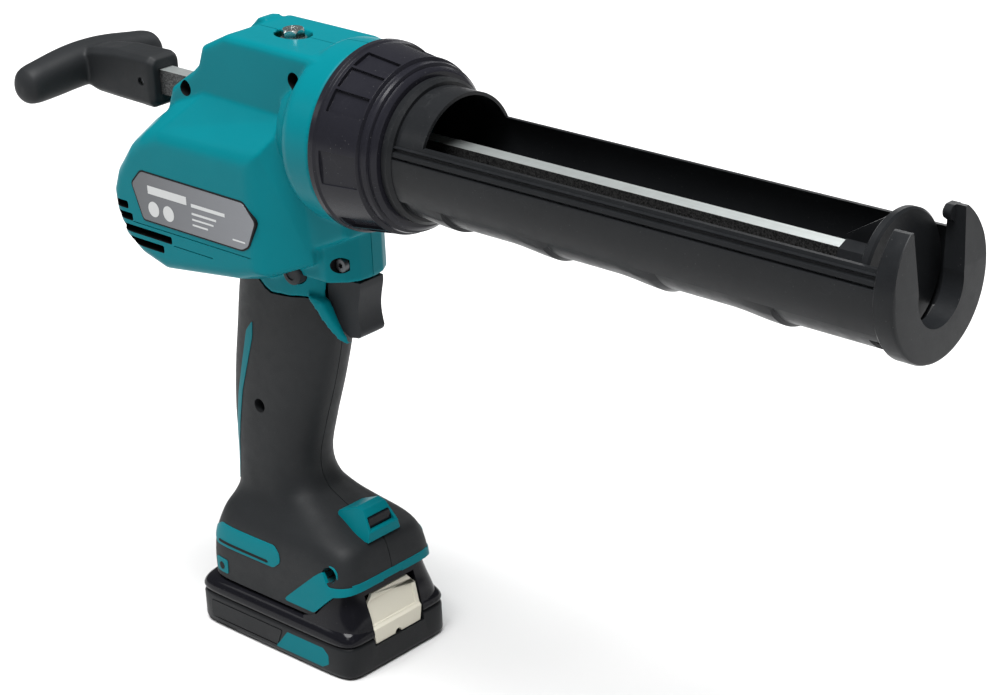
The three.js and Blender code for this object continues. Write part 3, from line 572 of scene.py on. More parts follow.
def bump(tree, surface, height, strength, distance):
    node = add(tree, "ShaderNodeBump", {"Height": height, "Strength": strength, "Distance": distance})
    tree.links.new(node.outputs[0], surface.inputs["Normal"])


def plastic(name, colour, roughness, grain=2200.0, tone=0.12, gloss_change=0.1, relief=0.12,
            coat=0.0, coat_roughness=0.2, scuffs=0.0, specular=0.14):
    """Moulded plastic or rubber: grain, slow change of tone and gloss, and light scuffs."""
    material, tree, surface, coords = blank(name)
    grained = add(tree, "ShaderNodeGroup", node_tree=bpy.data.node_groups["Moulded Grain"])
    tree.links.new(coords, grained.inputs["Vector"])
    grained.inputs["Colour"].default_value = (*colour, 1)
    grained.inputs["Grain"].default_value = grain
    grained.inputs["Tone"].default_value = tone
    grained.inputs["Roughness"].default_value = roughness
    grained.inputs["Gloss Change"].default_value = gloss_change
    colour_out, rough_out = grained.outputs["Colour"], grained.outputs["Roughness"]
    if scuffs:
        worn = add(tree, "ShaderNodeGroup", node_tree=bpy.data.node_groups["Light Scuffs"])
        tree.links.new(coords, worn.inputs["Vector"])
        worn.inputs["Amount"].default_value = scuffs
        light = tuple(min(1.0, c * 2.2 + 0.06) for c in colour)
        colour_out = mix_colour(tree, worn.outputs["Mask"], colour_out, (*light, 1))
        colour_out = mix_colour(tree, worn.outputs["Dust"], colour_out, (0.32, 0.32, 0.31, 1))
        rough_out = maths(tree, "ADD", rough_out, maths(tree, "MULTIPLY", worn.outputs["Mask"], 0.25),
                          clamp=True)
    tree.links.new(colour_out, surface.inputs["Base Color"])
    tree.links.new(rough_out, surface.inputs["Roughness"])
    surface.inputs["Coat Weight"].default_value = coat
    surface.inputs["Coat Roughness"].default_value = coat_roughness
    surface.inputs["Specular IOR Level"].default_value = specular
    bump(tree, surface, grained.outputs["Height"], relief, 0.00012)
    return material


def metal(name, colour, roughness, strength=0.35, metallic=1.0):
    material, tree, surface, coords = blank(name)
    drawn = add(tree, "ShaderNodeGroup", node_tree=bpy.data.node_groups["Drawn Metal"])
    tree.links.new(coords, drawn.inputs["Vector"])
    drawn.inputs["Strength"].default_value = strength
    tint = add(tree, "ShaderNodeVectorMath", {0: colour}, operation="SCALE")
    tree.links.new(drawn.outputs["Value"], tint.inputs["Scale"])
    tree.links.new(tint.outputs[0], surface.inputs["Base Color"])
    rough = maths(tree, "MULTIPLY", drawn.outputs["Value"], roughness, clamp=True)
    tree.links.new(rough, surface.inputs["Roughness"])
    surface.inputs["Metallic"].default_value = metallic
    bump(tree, surface, drawn.outputs["Height"], 0.15, 0.00008)
    return material


def rack_steel_painted_light(name, colour):
    """Steel coloured by facing: upward faces bright zinc as a painted highlight, all other faces a dark granular
    colour as painted shade, with a granular bump over all faces.
    """
    material, tree, surface, coords = blank(name)
    drawn = add(tree, "ShaderNodeGroup", node_tree=bpy.data.node_groups["Drawn Metal"])
    tree.links.new(coords, drawn.inputs["Vector"])
    drawn.inputs["Strength"].default_value = 0.45
    # Colour by facing: the bright zinc on upward faces is a painted highlight, the dark granular colour on the
    # other faces is painted shade.
    facing = tree.nodes.new("ShaderNodeNewGeometry")
    parts = add(tree, "ShaderNodeSeparateXYZ", {0: facing.outputs["Normal"]})
    top = ramp(tree, parts.outputs["Z"], 0.3, 0.8)
    bright = add(tree, "ShaderNodeVectorMath", {0: colour}, operation="SCALE")
    tree.links.new(drawn.outputs["Value"], bright.inputs["Scale"])
    grains = add(tree, "ShaderNodeTexNoise", {"Vector": coords, "Scale": 1500.0, "Detail": 4.0,
                                              "Roughness": 0.8})
    # Dark granular tone of the painted shade on the faces that do not face up.
    painted_shade_grain = ramp(tree, grains.outputs["Fac"], 0.38, 0.66, 0.012, 0.15)
    dark = add(tree, "ShaderNodeCombineColor", {"Red": painted_shade_grain, "Green": painted_shade_grain, "Blue": painted_shade_grain})
    base = mix_colour(tree, top, dark.outputs[0], bright.outputs[0])
    tree.links.new(base, surface.inputs["Base Color"])
    tree.links.new(ramp(tree, top, 0.0, 1.0, 0.55, 0.42), surface.inputs["Roughness"])
    tree.links.new(ramp(tree, top, 0.0, 1.0, 0.75, 0.9), surface.inputs["Metallic"])
    bump(tree, surface, grains.outputs["Fac"], 0.3, 0.00015)
    return material


def plate_film(name, colour):
    """Printed metallic film whose tone runs from dark to light along the plate."""
    material, tree, surface, coords = blank(name)
    parts = add(tree, "ShaderNodeSeparateXYZ", {0: coords})
    along = ramp(tree, parts.outputs["X"], -0.064, 0.017, 0.72, 1.45)
    drawn = add(tree, "ShaderNodeGroup", node_tree=bpy.data.node_groups["Drawn Metal"])
    tree.links.new(coords, drawn.inputs["Vector"])
    drawn.inputs["Strength"].default_value = 0.16
    shade = maths(tree, "MULTIPLY", along, drawn.outputs["Value"])
    tint = add(tree, "ShaderNodeVectorMath", {0: colour}, operation="SCALE")
    tree.links.new(shade, tint.inputs["Scale"])
    tree.links.new(tint.outputs[0], surface.inputs["Base Color"])
    rough = maths(tree, "MULTIPLY", drawn.outputs["Value"], 0.34, clamp=True)
    tree.links.new(rough, surface.inputs["Roughness"])
    surface.inputs["Metallic"].default_value = 0.35
    bump(tree, surface, drawn.outputs["Height"], 0.05, 0.00005)
    return material


class GUN_OT_finishes(bpy.types.Operator):
    """Makes the finishes that the pieces and the frame's own parts wear"""
    bl_idname = "gun.finishes"
    bl_label = "Finishes"

    def execute(self, context):
        c = context.scene.gun_colours
        make_grain_group()
        make_scuff_group()
        make_drawn_group()
        plastic("teal_plastic", c.teal, 0.34, tone=0.12, gloss_change=0.08, relief=0.06, scuffs=0.02,
                specular=0.05)
        plastic("black_plastic", c.black, 0.36, grain=1700, tone=0.5, gloss_change=0.16, relief=0.16,
                scuffs=0.12)
        plastic("trigger_plastic", [v * 2.2 for v in c.black], 0.5, grain=1900, tone=0.3, relief=0.14)
        plastic("smoke_plastic", c.smoke, 0.22, grain=1300, tone=0.4, gloss_change=0.12, relief=0.04,
                scuffs=0.2)
        plastic("gloss_plastic", [v * 0.5 for v in c.smoke], 0.14, tone=0.3, gloss_change=0.06, relief=0.03,
                scuffs=0.08)
        plastic("grip_rubber", c.rubber, 0.56, grain=1500, tone=0.4, gloss_change=0.12, relief=0.22,
                scuffs=0.05,
                specular=0.18)
        plastic("cream_plastic", c.cream, 0.45, tone=0.05, relief=0.06, scuffs=0.1)
        # Near-black painted shade: lines the walls of cut openings and marks the foot's slot and hole and the
        # rim round the rating plate, standing in for the shade that falls there.
        plastic("painted_shade_inside", (0.004, 0.004, 0.0045), 0.6, tone=0.3)
        plastic("board_mask", (0.01, 0.11, 0.05), 0.5, tone=0.3)
        plastic("cell_wrap", (0.03, 0.16, 0.4), 0.35, tone=0.2)
        plastic("lens_plastic", (0.5, 0.53, 0.55), 0.1, tone=0.1, relief=0.02)
        plastic("pale_print", (0.5, 0.51, 0.51), 0.4, tone=0.05, relief=0.03)
        metal("steel", c.zinc, 0.34)
        metal("zinc_bolt", c.zinc, 0.25, strength=0.5)
        metal("dark_steel", (0.09, 0.095, 0.1), 0.42, strength=0.5)
        metal("bronze", (0.42, 0.26, 0.12), 0.4)
        metal("magnet", (0.03, 0.03, 0.032), 0.6, metallic=0.3)
        # Rack steel with a painted highlight on upward faces and painted shade on the others.
        rack_steel_painted_light("rack_steel_painted_light", c.zinc)
        plate_film("plate_film", c.plate)
        worn = {
            "steel": ["pinion_shaft", "idler_shaft", "piston_screw", "motor_rotor", "trigger_spring",
                      "release_spring"],
            # The rack wears steel with a painted highlight on top and painted shade on its sides.
            "rack_steel_painted_light": ["rack"],
            "dark_steel": ["handle_pin", "rack_pinion", "drive_gear", "idler_pinion", "motor_can",
                           "gear_case", "screw_rear", "screw_front", "screw_trigger", "screw_grip",
                           "screw_foot"],
            "bronze": ["pinion_bush_left", "pinion_bush_right", "idler_bush", "rack_guide"],
            "magnet": ["magnet_upper", "magnet_lower"],
            "black_plastic": ["switch_body", "motor_end_cap", "cooling_fan", "terminal_block"],
            "board_mask": ["controller_board", "led_board", "battery_board"],
            "cell_wrap": ["cell_right", "cell_middle", "cell_left"],
            "lens_plastic": ["lamp_lens"],
        }
        for finish_name, nodes in worn.items():
            for node in nodes:
                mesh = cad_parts[node].data
                mesh.materials.clear()
                mesh.materials.append(bpy.data.materials[f"finish_{finish_name}"])
        return {"FINISHED"}


# ---------------------------------------------------------------- barrel


class GUN_OT_holder(bpy.types.Operator):
    """Open trough that holds the cartridge, with its ribs and the pads under it"""
    bl_idname = "gun.holder"
    bl_label = "Cartridge Holder"

    def execute(self, context):
        s = context.scene.gun_sizes
        outer = s.holder_radius / MM
        inner = outer - s.holder_wall / MM
        edge = s.open_edge / MM
        rear, front = low("cartridge_holder").x, high("cartridge_holder").x
        flange = (high("cartridge_holder").y - low("cartridge_holder").y) / 2
        round_end = rear + 36.5
        pads = [(rear + 16 + 55 * k, rear + 43 + 55 * k) for k in range(4)]
        places = [rear + (front - rear) * k / 90 for k in range(91)]
        places += [end + 0.4 for _, end in pads]
        places = sorted(places)

        steps = [(edge - 0.9, 1.3), (edge - 2.3, 0.1), (edge - 3.7, 1.3), (edge - 5.4, 0.2),
                 (edge - 6.8, 1.3)]

        def reach(height, x):
            for bottom, depth in steps:
                if height > bottom:
                    return outer - depth
            if height > -14.0:
                return outer
            rise = 0.0
            for start, end in pads:
                if start <= x <= end:
                    rise = max(rise, math.sin(math.pi / 2 * (x - start) / (end - start)) ** 2)
            return outer - 1.5 + 1.5 * rise * min(1.0, max(0.0, (-height - 14.0) / 5))

        bm = bmesh.new()
        loops = []
        for x in places:
            made = bmesh.ops.create_circle(bm, cap_ends=False, radius=1, segments=240)["verts"]
            for vert in made:
                radius = reach(vert.co.y * outer, x)
                vert.co = Vector((x, vert.co.x * radius, AXIS + vert.co.y * radius))
            loops.append(list({e for vert in made for e in vert.link_edges}))
        holder = as_object(bridged(bm, loops), "cartridge_trough")
        cut(holder,
            rod("X", inner, rear - 2, front + 2, (0, AXIS), sides=96),
            block((round_end, front + 5), (-60, 60), (AXIS + edge, AXIS + 80)),
            block((front - 7, front + 5), (-21, 21), (AXIS - 60, AXIS - 18)))
        collar = high("locking_ring").x + 0.5
        fuse(holder, turned([(collar, outer + 1.6), (collar + 3.0, outer + 1.6), (collar + 4.4, outer + 0.2),
                             (collar + 4.4, inner + 0.6), (collar, inner + 0.6)]),
                             turned([(rear, flange), (rear + 3.6, flange), (rear + 3.6, inner + 0.6),
                                     (rear, inner + 0.6)]))
        finish(holder, "holder", "black_plastic", ["cartridge_holder"], bevel=0.45, angle=38)
        return {"FINISHED"}


class GUN_OT_ring(bpy.types.Operator):
    """Smoked locking ring with wide grip lobes and ribbed hollows between them"""
    bl_idname = "gun.locking_ring"
    bl_label = "Locking Ring"

    lobe_start: bpy.props.FloatProperty(
        name="Hollow start", description="Angle at which the first ribbed hollow starts",
        default=math.radians(31.7), subtype="ANGLE")
    hollow: bpy.props.FloatProperty(
        name="Hollow width", description="Angle that a ribbed hollow covers",
        default=math.radians(47.3), subtype="ANGLE")

    def execute(self, context):
        s = context.scene.gun_sizes
        rear, front = low("locking_ring").x, high("locking_ring").x
        top = RING_RADIUS
        bore = s.holder_radius / MM + 0.25
        neck = 35.3
        seat = rear + 19.6
        ring = as_object(turned([
            (rear, top - 1.0), (rear + 1.0, top), (rear + 3.6, top), (rear + 4.6, top - 0.9),
            (rear + 25.0, top - 3.6), (rear + 25.6, top - 5.4), (rear + 27.4, top - 5.6),
            (rear + 27.9, top - 5.0), (rear + 29.2, top - 5.4), (rear + 29.6, top - 7.0),
            (rear + 30.5, top - 7.1), (rear + 30.9, top - 6.6), (front - 0.5, top - 7.6),
            (front, top - 8.4), (front, bore), (seat, bore), (seat, neck), (rear, neck)], sides=192),
            "smoke_ring")
        for turn in range(3):
            start = self.lobe_start + turn * math.radians(120)
            for first, last, depth in ((0.0, 0.31, 1.5), (0.345, 0.665, 1.5), (0.70, 1.0, 1.5),
                                       (-0.95, -0.5, 0.6)):
                a, b = start + first * self.hollow, start + last * self.hollow
                wedge = bmesh.new()
                for vert in bmesh.ops.create_cube(wedge, size=1)["verts"]:
                    angle = a if vert.co.y < 0 else b
                    far = vert.co.z > 0
                    ahead = vert.co.x > 0
                    x = rear + 24.4 if ahead else rear + 6.2
                    base = top - (3.5 if ahead else 1.1) - depth
                    radius = base + (6 if far else 0)
                    vert.co = Vector((x, -radius * math.cos(angle), AXIS + radius * math.sin(angle)))
                cut(ring, tidy(wedge))
        finish(ring, "ring", "smoke_plastic", ["locking_ring"], bevel=0.18, angle=28)
        return {"FINISHED"}


class GUN_OT_end_cap(bpy.types.Operator):
    """End cap with a slot for the nozzle between two horns"""
    bl_idname = "gun.end_cap"
    bl_label = "End Cap"

    def execute(self, context):
        rear, front = low("end_cap").x, high("end_cap").x
        radius = high("end_cap").y
        top = high("end_cap").z
        centre = AXIS - 2
        cap = as_object(turned([
            (rear, radius - 0.4), (rear + 0.6, radius), (front - 1.6, radius), (front - 0.5, radius - 0.5),
            (front, radius - 1.7), (front, 0.02), (rear, 0.02)], sides=144), "nozzle_cap")
        slot = prism("X", [(-14.2, centre), (14.2, centre), (16.9, top + 6), (-16.9, top + 6)], rear - 2,
                     front + 2)
        cut(cap, block((rear - 2, front + 2), (-50, 50), (top, top + 30)), slot,
            rod("X", 14.5, rear - 2, front + 2, (0, centre), sides=72))
        slope = facet_loft("Y", [
            (-40, [(front + 0.02, AXIS + 2), (front + 4, AXIS + 2), (front + 4, top + 4),
                   (front - 1.5, top + 4)]),
            (40, [(front + 0.02, AXIS + 2), (front + 4, AXIS + 2), (front + 4, top + 4),
                  (front - 1.5, top + 4)])])
        cut(cap, slope)
        hook = prism("X", [(13.0, top - 4.4), (18, top - 8), (20.5, top - 3), (19.5, top), (14.6, top),
                           (12.6, top - 2)], rear, rear + 3.4, corner=0.9)
        fuse(cap, hook)
        cut(cap, block((rear - 2, rear + 3.2), (-15, 15), (AXIS - 33, AXIS - 26.4)))
        finish(cap, "holder", "black_plastic", ["end_cap"], bevel=1.1, angle=32, steps=4)
        return {"FINISHED"}


class GUN_OT_push_rod(bpy.types.Operator):
    """Piston with its gussets, and the T-handle on the rear of the rack"""
    bl_idname = "gun.push_rod"
    bl_label = "Piston and Handle"

    def execute(self, context):
        rack_low, rack_high = low("rack"), high("rack")
        clear = 0.35
        socket = dict(y=(rack_low.y - clear, rack_high.y + clear),
                      z=(rack_low.z - clear, rack_high.z + clear))
        face, hub = high("piston").x, low("piston").x
        radius = high("piston").y
        disc = as_object(turned([
            (face - 4, radius - 0.8), (face - 3.2, radius), (face - 0.9, radius), (face, radius - 0.9),
            (face, 4.6), (face - 2.4, 4.6), (face - 2.4, 2.3), (face - 4, 2.3)], sides=96), "piston_disc")
        gussets = []
        for width, height in (((-1.3, 1.3), (AXIS - radius, AXIS + radius)),
                              ((-radius, radius), (AXIS - 1.3, AXIS + 1.3))):
            gussets.append(block((hub, face - 3.5), width, height))
        web = as_object(gussets[0], "piston_web")
        fuse(web, gussets[1], rod("X", 9.2, hub, face - 3.5, (0, AXIS), sides=8))
        keep(web, rod("X", 10.5, hub, face - 3.5, (0, AXIS), end_radius=radius - 1.6, sides=64))
        joined_web = bmesh.new()
        joined_web.from_mesh(web.data)
        bpy.data.objects.remove(web)
        fuse(disc, joined_web)
        cut(disc, block((hub - 2, rack_high.x + clear), **socket))
        finish(disc, "push_rod", "black_plastic", ["piston"], bevel=0.3)

        rear, ahead = low("pull_handle").x, high("pull_handle").x
        half = high("pull_handle").y
        axis = AXIS - 1.5
        near, tip = rear + 10.4, half - 0.01
        bar = loft("Y", between([
            (-tip, (near + 0.6, axis - 2.6), (3.0, 2.6), 2.1),
            (-tip + 0.9, (near + 0.5, axis - 2.5), (5.6, 5.2), 2.1),
            (-tip + 3.8, (near + 0.4, axis - 2.2), (8.3, 8.2), 2.2),
            (-tip + 13, (near + 0.2, axis - 1.4), (9.4, 9.2), 2.4),
            (-9, (near, axis + 0.5), (10.0, 9.8), 2.6),
            (9, (near, axis + 0.5), (10.0, 9.8), 2.6),
            (tip - 13, (near + 0.2, axis - 1.4), (9.4, 9.2), 2.4),
            (tip - 3.8, (near + 0.4, axis - 2.2), (8.3, 8.2), 2.2),
            (tip - 0.9, (near + 0.5, axis - 2.5), (5.6, 5.2), 2.1),
            (tip, (near + 0.6, axis - 2.6), (3.0, 2.6), 2.1)], 4))

        def octagon(a, b, chamfer, lift=0.0):
            return [(-a, AXIS + lift - b + chamfer), (-a + chamfer, AXIS + lift - b),
                    (a - chamfer, AXIS + lift - b),
                    (a, AXIS + lift - b + chamfer), (a, AXIS + lift + b - chamfer),
                    (a - chamfer, AXIS + lift + b),
                    (-a + chamfer, AXIS + lift + b), (-a, AXIS + lift + b - chamfer)]

        stem = facet_loft("X", [
            (rear + 12, octagon(7, 8.5, 3, -1.5)), (rear + 24, octagon(8.6, 10.6, 2.6, -0.8)),
            (rear + 40, octagon(8.8, 11.8, 2.6)), (ahead - 3, octagon(9, 12.2, 2.6)),
            (ahead, octagon(7.4, 10.4, 2.2))])
        handle = moulded(as_object(joined(bar, stem), "t_handle"), 0.7, 5)
        cut(handle,
            block((rack_low.x - clear, ahead + 5), **socket),
            rod("Y", 2.0, -30, 30, ((low("handle_pin").x + high("handle_pin").x) / 2, AXIS), sides=24))
        finish(handle, "push_rod", "grip_rubber", ["pull_handle"], angle=48)
        return {"FINISHED"}


# ---------------------------------------------------------------- housing

HANDLE = [
    (26.0, (5.5, 0), (47.0, 30.2), 8.0),
    (36.0, (5.5, 0), (47.0, 30.2), 8.0),
    (47.0, (5.8, 0), (46.4, 30.0), 7.0),
    (55.0, (6.0, 0), (44.6, 29.0), 6.0),
    (60.5, (5.0, 0), (42.6, 26.6), 5.0),
    (65.0, (1.0, 0), (37.4, 23.2), 3.8),
    (70.0, (-5.0, 0), (30.6, 20.0), 3.1),
    (76.0, (-11.0, 0), (25.0, 18.2), 2.8),
    (88.0, (-13.2, 0), (23.2, 17.1), 2.6),
    (107.0, (-10.9, 0), (26.0, 17.0), 2.6),
    (129.0, (-6.0, 0), (29.0, 17.0), 2.6),
    (150.0, (-1.0, 0), (30.3, 17.2), 2.6),
    (170.0, (3.0, 0), (30.6, 17.5), 2.6),
    (192.0, (8.0, 0), (30.6, 17.5), 2.6),
]

# Joint between the rubber cover and the housing, seen from the side; [x, z] points from rear to front.
COVER_EDGE = [(-45, 192), (-14, 186), (-6.5, 182.8), (-2.8, 180.2), (1.0, 177.0), (4.8, 175.4), (16, 176.2),
              (24, 177.2), (28, 176.8), (30.6, 174.2), (34, 169), (38, 163.6), (41.4, 159.8), (45, 157.3),
              (60, 155.5)]


def handle_form(grow=0.0):
    return loft("Z", between(HANDLE, 4), sides=120, grow=grow)


def side_region(outline, start=-60, end=60):
    return prism("Y", outline, start, end)


TRIGGER_TRAVEL = 6.0


def trigger_room():
    """Space the trigger fills between its rest and its full pull."""
    half = high("trigger").y + 0.7
    roof = high("trigger").z + 0.7
    rear = [(31.8, roof), (31.8, 175), (33, 169), (36, 163.8), (40, 160.4), (44, 158.9)]
    return prism("Y", [(x - TRIGGER_TRAVEL, z) for x, z in rear] + [(70, 158.9), (70, roof)], -half, half)


# How much deeper than the bearing face of the mount a screw head sits in the tapered nose of the trunk.
SUNK = {"screw_trigger": 2.4}


class GUN_OT_housing(bpy.types.Operator):
    """Teal housing in two halves: gear housing, ring seat, motor housing, trunk and trigger lip"""
    bl_idname = "gun.housing"
    bl_label = "Housing"

    def execute(self, context):
        s = context.scene.gun_sizes
        half = s.body_half_width / MM
        motor = s.motor_half_width / MM
        seat = low("locking_ring").x - 0.3
        top = AXIS + 36.8
        gears = prism("Y", [
            (30, 200), (seat, 214), (seat, AXIS + 33), (43, top - 0.6), (-9, top), (-24.5, AXIS + 29.5),
            (-28, AXIS + 20.5), (-32, AXIS + 17), (-47, AXIS + 7), (-54, AXIS - 10), (-56, AXIS - 30)],
            -half, half, edge=3.2, steps=4)
        flange = turned([(26, 26), (34, 30.5), (39.5, 35), (43, 38.6), (46, 39.6), (seat, 40.2), (seat, 20),
                         (26, 20)],
                        sides=128)
        side = [(16, 190.5), (16, 243.5), (-45, 243), (-58, 238.5), (-67, 232), (-76, 219), (-79, 211),
                (-78, 202), (-73, 191), (-63, 184), (-48, 179.5), (-2, 185.5)]
        deep = [(38, 197.5), (31, 262), (-24, 263.5), (-42, 256.5), (-58, 245.5), (-74, 230), (-84, 213),
                (-84, 200), (-79, 187), (-66, 181), (-48, 177.5), (8, 184)]
        bulge = facet_loft("Y", [(-motor, side), (-half, deep), (half, deep), (motor, side)])
        rims = [e for e in bulge.edges if abs(abs(e.verts[0].co.y) - motor) < 0.01
                and abs(abs(e.verts[1].co.y) - motor) < 0.01]
        round_edges(bulge, rims, 4.5, 4)
        nose = [(-30, -17.8), (42, -17.8), (49, -12), (52, -7), (52.8, 0), (52, 7), (49, 12), (42, 17.8),
                (-30, 17.8)]
        trunk = prism("Z", nose, 188.6, 245, edge=1.2)
        upper_handle = loft("Z", [st for st in between(HANDLE, 4) if st[0] > 140], sides=96)
        edge_down = [(x, z + 0.25) for x, z in reversed(COVER_EDGE) if 26 < x < 45]
        edge_down = [(x, z + 0.25) for x, z in reversed(COVER_EDGE) if 26 < x < 44]
        edge_down = [(x, z + 0.25) for x, z in reversed(COVER_EDGE) if 26 < x < 44]
        lip = as_object(prism("Y", [(27, 180), (35, 177), (40.5, 167), (43, 162.8), (44.6, 161.4),
                                    (44.6, 157.9)] + edge_down, -16.9, 16.9), "lip")
        keep(lip, loft("Z", [(150, (14, 0), (35.2, 17.3), 2.5), (195, (14, 0), (35.2, 17.3), 2.5)], sides=96))
        lug = prism("Y", [(-23.5, 279), (-23, 285.4), (-15, 292.6), (-10.5, 293), (-2, 287), (0, 281)], 5, 15,
                    edge=1)
        shell = as_object(gears, "housing")
        motor_end = rod("X", 20.4, -76.4, -60, (0, 213), sides=64, edge=2.0)
        fan_cover = rod("X", 17.4, -82.6, -60, (0, 213), sides=64, edge=2.0)
        fuse(shell, flange, bulge, trunk, motor_end, fan_cover)
        handle_top = as_object(upper_handle, "handle_top")
        below = [(x, z + 0.25) for x, z in COVER_EDGE]
        keep(handle_top, side_region(below + [(60, 230), (-45, 230)]))
        fuse(shell, taken(handle_top), taken(lip), lug)
        trigger_low, trigger_high = low("trigger"), high("trigger")
        recess = rod("Z", 7.0, top - 2.2, top + 6, (13, 0), sides=64)
        bmesh.ops.scale(recess, verts=recess.verts, vec=(1.35, 1, 1), space=Matrix.Translation((-13, 0, 0)))
        rack_low, rack_high = low("rack"), high("rack")
        cut(shell, trigger_room(), recess,
            block((10, 26), (trigger_low.y - 0.7, trigger_high.y + 0.7),
                  (trigger_low.z + 9, trigger_high.z - 6)),
            block((-90, 62), (rack_low.y - 0.9, rack_high.y + 0.9), (rack_low.z - 0.9, rack_high.z + 0.9)),
            rod("X", 31, seat - 4, seat + 3, (0, AXIS), sides=64),
            block((-12, 32), (6, 12.4), (low("drive_gear").z - 1, high("drive_gear").z + 1)),
            rod("X", 15.8, -80.6, -74, (0, 213), sides=40),
            rod("X", 18.6, -74.6, -2, (0, 213), sides=40),
            block((-20, 23), (-15.6, 12.4), (198, 232)),
            block((-1, 21), (-12.6, 17.6), (228, 252)),
            block((0, 26), (-6.2, 6.2), (250, 290)))
        moulded(shell, 0.8, 4)
        # Vent slots, their walls lined with near-black painted shade.
        slots = [((-78, -68.5), 204), ((-77.5, -66), 198.6), ((-76, -40), 193), ((-70, -46), 187.4)]
        for (x0, x1), z in slots:
            lined(shell, "teal_plastic", "painted_shade_inside",
                  block((x0, x1), (-motor - 8, -motor + 6), (z, z + 3.6), edge=0.9),
                  block((x0, x1), (motor - 6, motor + 8), (z, z + 3.6), edge=0.9))
        grooves = [((-66, 12), 198.2), ((-39, -13), 192.4)]
        for (x0, x1), z in grooves:
            cut(shell, block((x0, x1), (-motor - 1, -motor + 0.45), (z, z + 0.5)),
                block((x0, x1), (motor - 0.45, motor + 1), (z, z + 0.5)))
        # Screw bores, their walls lined with near-black painted shade.
        for name in ("screw_rear", "screw_front", "screw_trigger"):
            place = (low(name) + high(name)) / 2
            lined(shell, "teal_plastic", "painted_shade_inside",
                  rod("Y", 3.6, -50, low(name).y + 3.0 + SUNK.get(name, 0), (place.x, place.z), sides=32))
        lock = (low("lock_button") + high("lock_button")) / 2
        lock_radius = (high("lock_button").x - low("lock_button").x) / 2
        throw = high("lock_button").y + 3
        cut(shell, rod("Y", lock_radius + 0.5, -throw, throw, (lock.x, lock.z), sides=40),
            side_region([(-72, 0), (60, 0), (60, 152), (-72, 152)]))
        for side, bm in halves(shell, s.split / MM / 2):
            shell_half = as_object(bm, f"housing_shell_{side}")
            # The second slot holds the near-black painted shade on the walls of the vents and screw bores.
            for material in ("finish_teal_plastic", "finish_painted_shade_inside"):
                shell_half.data.materials.append(bpy.data.materials[material])
            finish(shell_half, "body", "teal_plastic", [f"housing_{side}"], angle=42)
        return {"FINISHED"}


class GUN_OT_plate(bpy.types.Operator):
    """Blank rating plate, and the bolt and washer in the top of the housing"""
    bl_idname = "gun.plate_and_bolt"
    bl_label = "Plate and Bolt"

    def execute(self, context):
        face = -context.scene.gun_sizes.motor_half_width / MM
        outline = [(-57, 224.3), (-63.8, 217.5), (-57.8, 201.6), (7.5, 201.6), (11.5, 204), (17, 216),
                   (10, 223.7)]
        rim = [(-57.6, 225), (-64.8, 217.7), (-58.4, 200.8), (7.8, 200.8), (12.2, 203.4), (18, 216.2),
               (10.4, 224.5)]
        # Rim round the plate in near-black painted shade, standing in for the shade line round its edge.
        edge = as_object(prism("Y", rim, face - 0.22, face + 1.2, corner=1.6), "plate_edge")
        finish(edge, "body", "painted_shade_inside", (), bevel=0.1)
        plate = as_object(prism("Y", outline, face - 0.42, face + 1.0, corner=1.4), "rating_plate")
        finish(plate, "body", "plate_film", ["name_plate"], bevel=0.12)
        marks = [((-53, -27), (214.8, 218.6)), ((-24, -2), (214.6, 216.2)), ((-24, -8), (211.0, 212.0)),
                 ((-24, -10), (208.4, 209.2)), ((-24, -14), (205.8, 206.6)), ((2, 10), (205.0, 205.7))]
        bars = joined(*[block(x, (face - 0.5, face - 0.2), z) for x, z in marks])
        discs = joined(*[rod("Y", 3.6, face - 0.5, face - 0.2, (x, 207.8), sides=40) for x in (-50, -40)])
        finish(as_object(joined(bars, discs), "plate_marks"), "body", "pale_print", ())

        foot = low("guide_bolt")
        crown = high("guide_bolt").z
        x = (foot.x + high("guide_bolt").x) / 2
        bolt = as_object(rod("Z", 5.2, crown - 4.2, crown, (x, 0), sides=6), "guide_bolt_head")
        keep(bolt, rod("Z", 8.5, crown - 6.5, crown, (x, 0), end_radius=4.4, sides=48))
        fuse(bolt, rod("Z", 5.9, crown - 5.0, crown - 4.1, (x, 0), sides=48),
             rod("Z", 2.2, foot.z, crown - 4.4, (x, 0), sides=24))
        cut(bolt, rod("Z", 2.6, crown - 0.5, crown + 1, (x, 0), sides=32))
        finish(bolt, "body", "zinc_bolt", ["guide_bolt"], bevel=0.15)
        return {"FINISHED"}


# ---------------------------------------------------------------- handle


def patch(name, outline, grow, finish_name, sides=("right", "left"), body="body"):
    """Thin inlay that follows the handle's surface inside an outline seen from the side."""
    for side in sides:
        thing = as_object(handle_form(grow), f"{name}_{side}")
        start, end = (-60, -6) if side == "right" else (6, 60)
        keep(thing, prism("Y", outline, start, end, corner=1.2))
        cut(thing, handle_form(grow - 1.6))
        finish(thing, body, finish_name, (), angle=50)


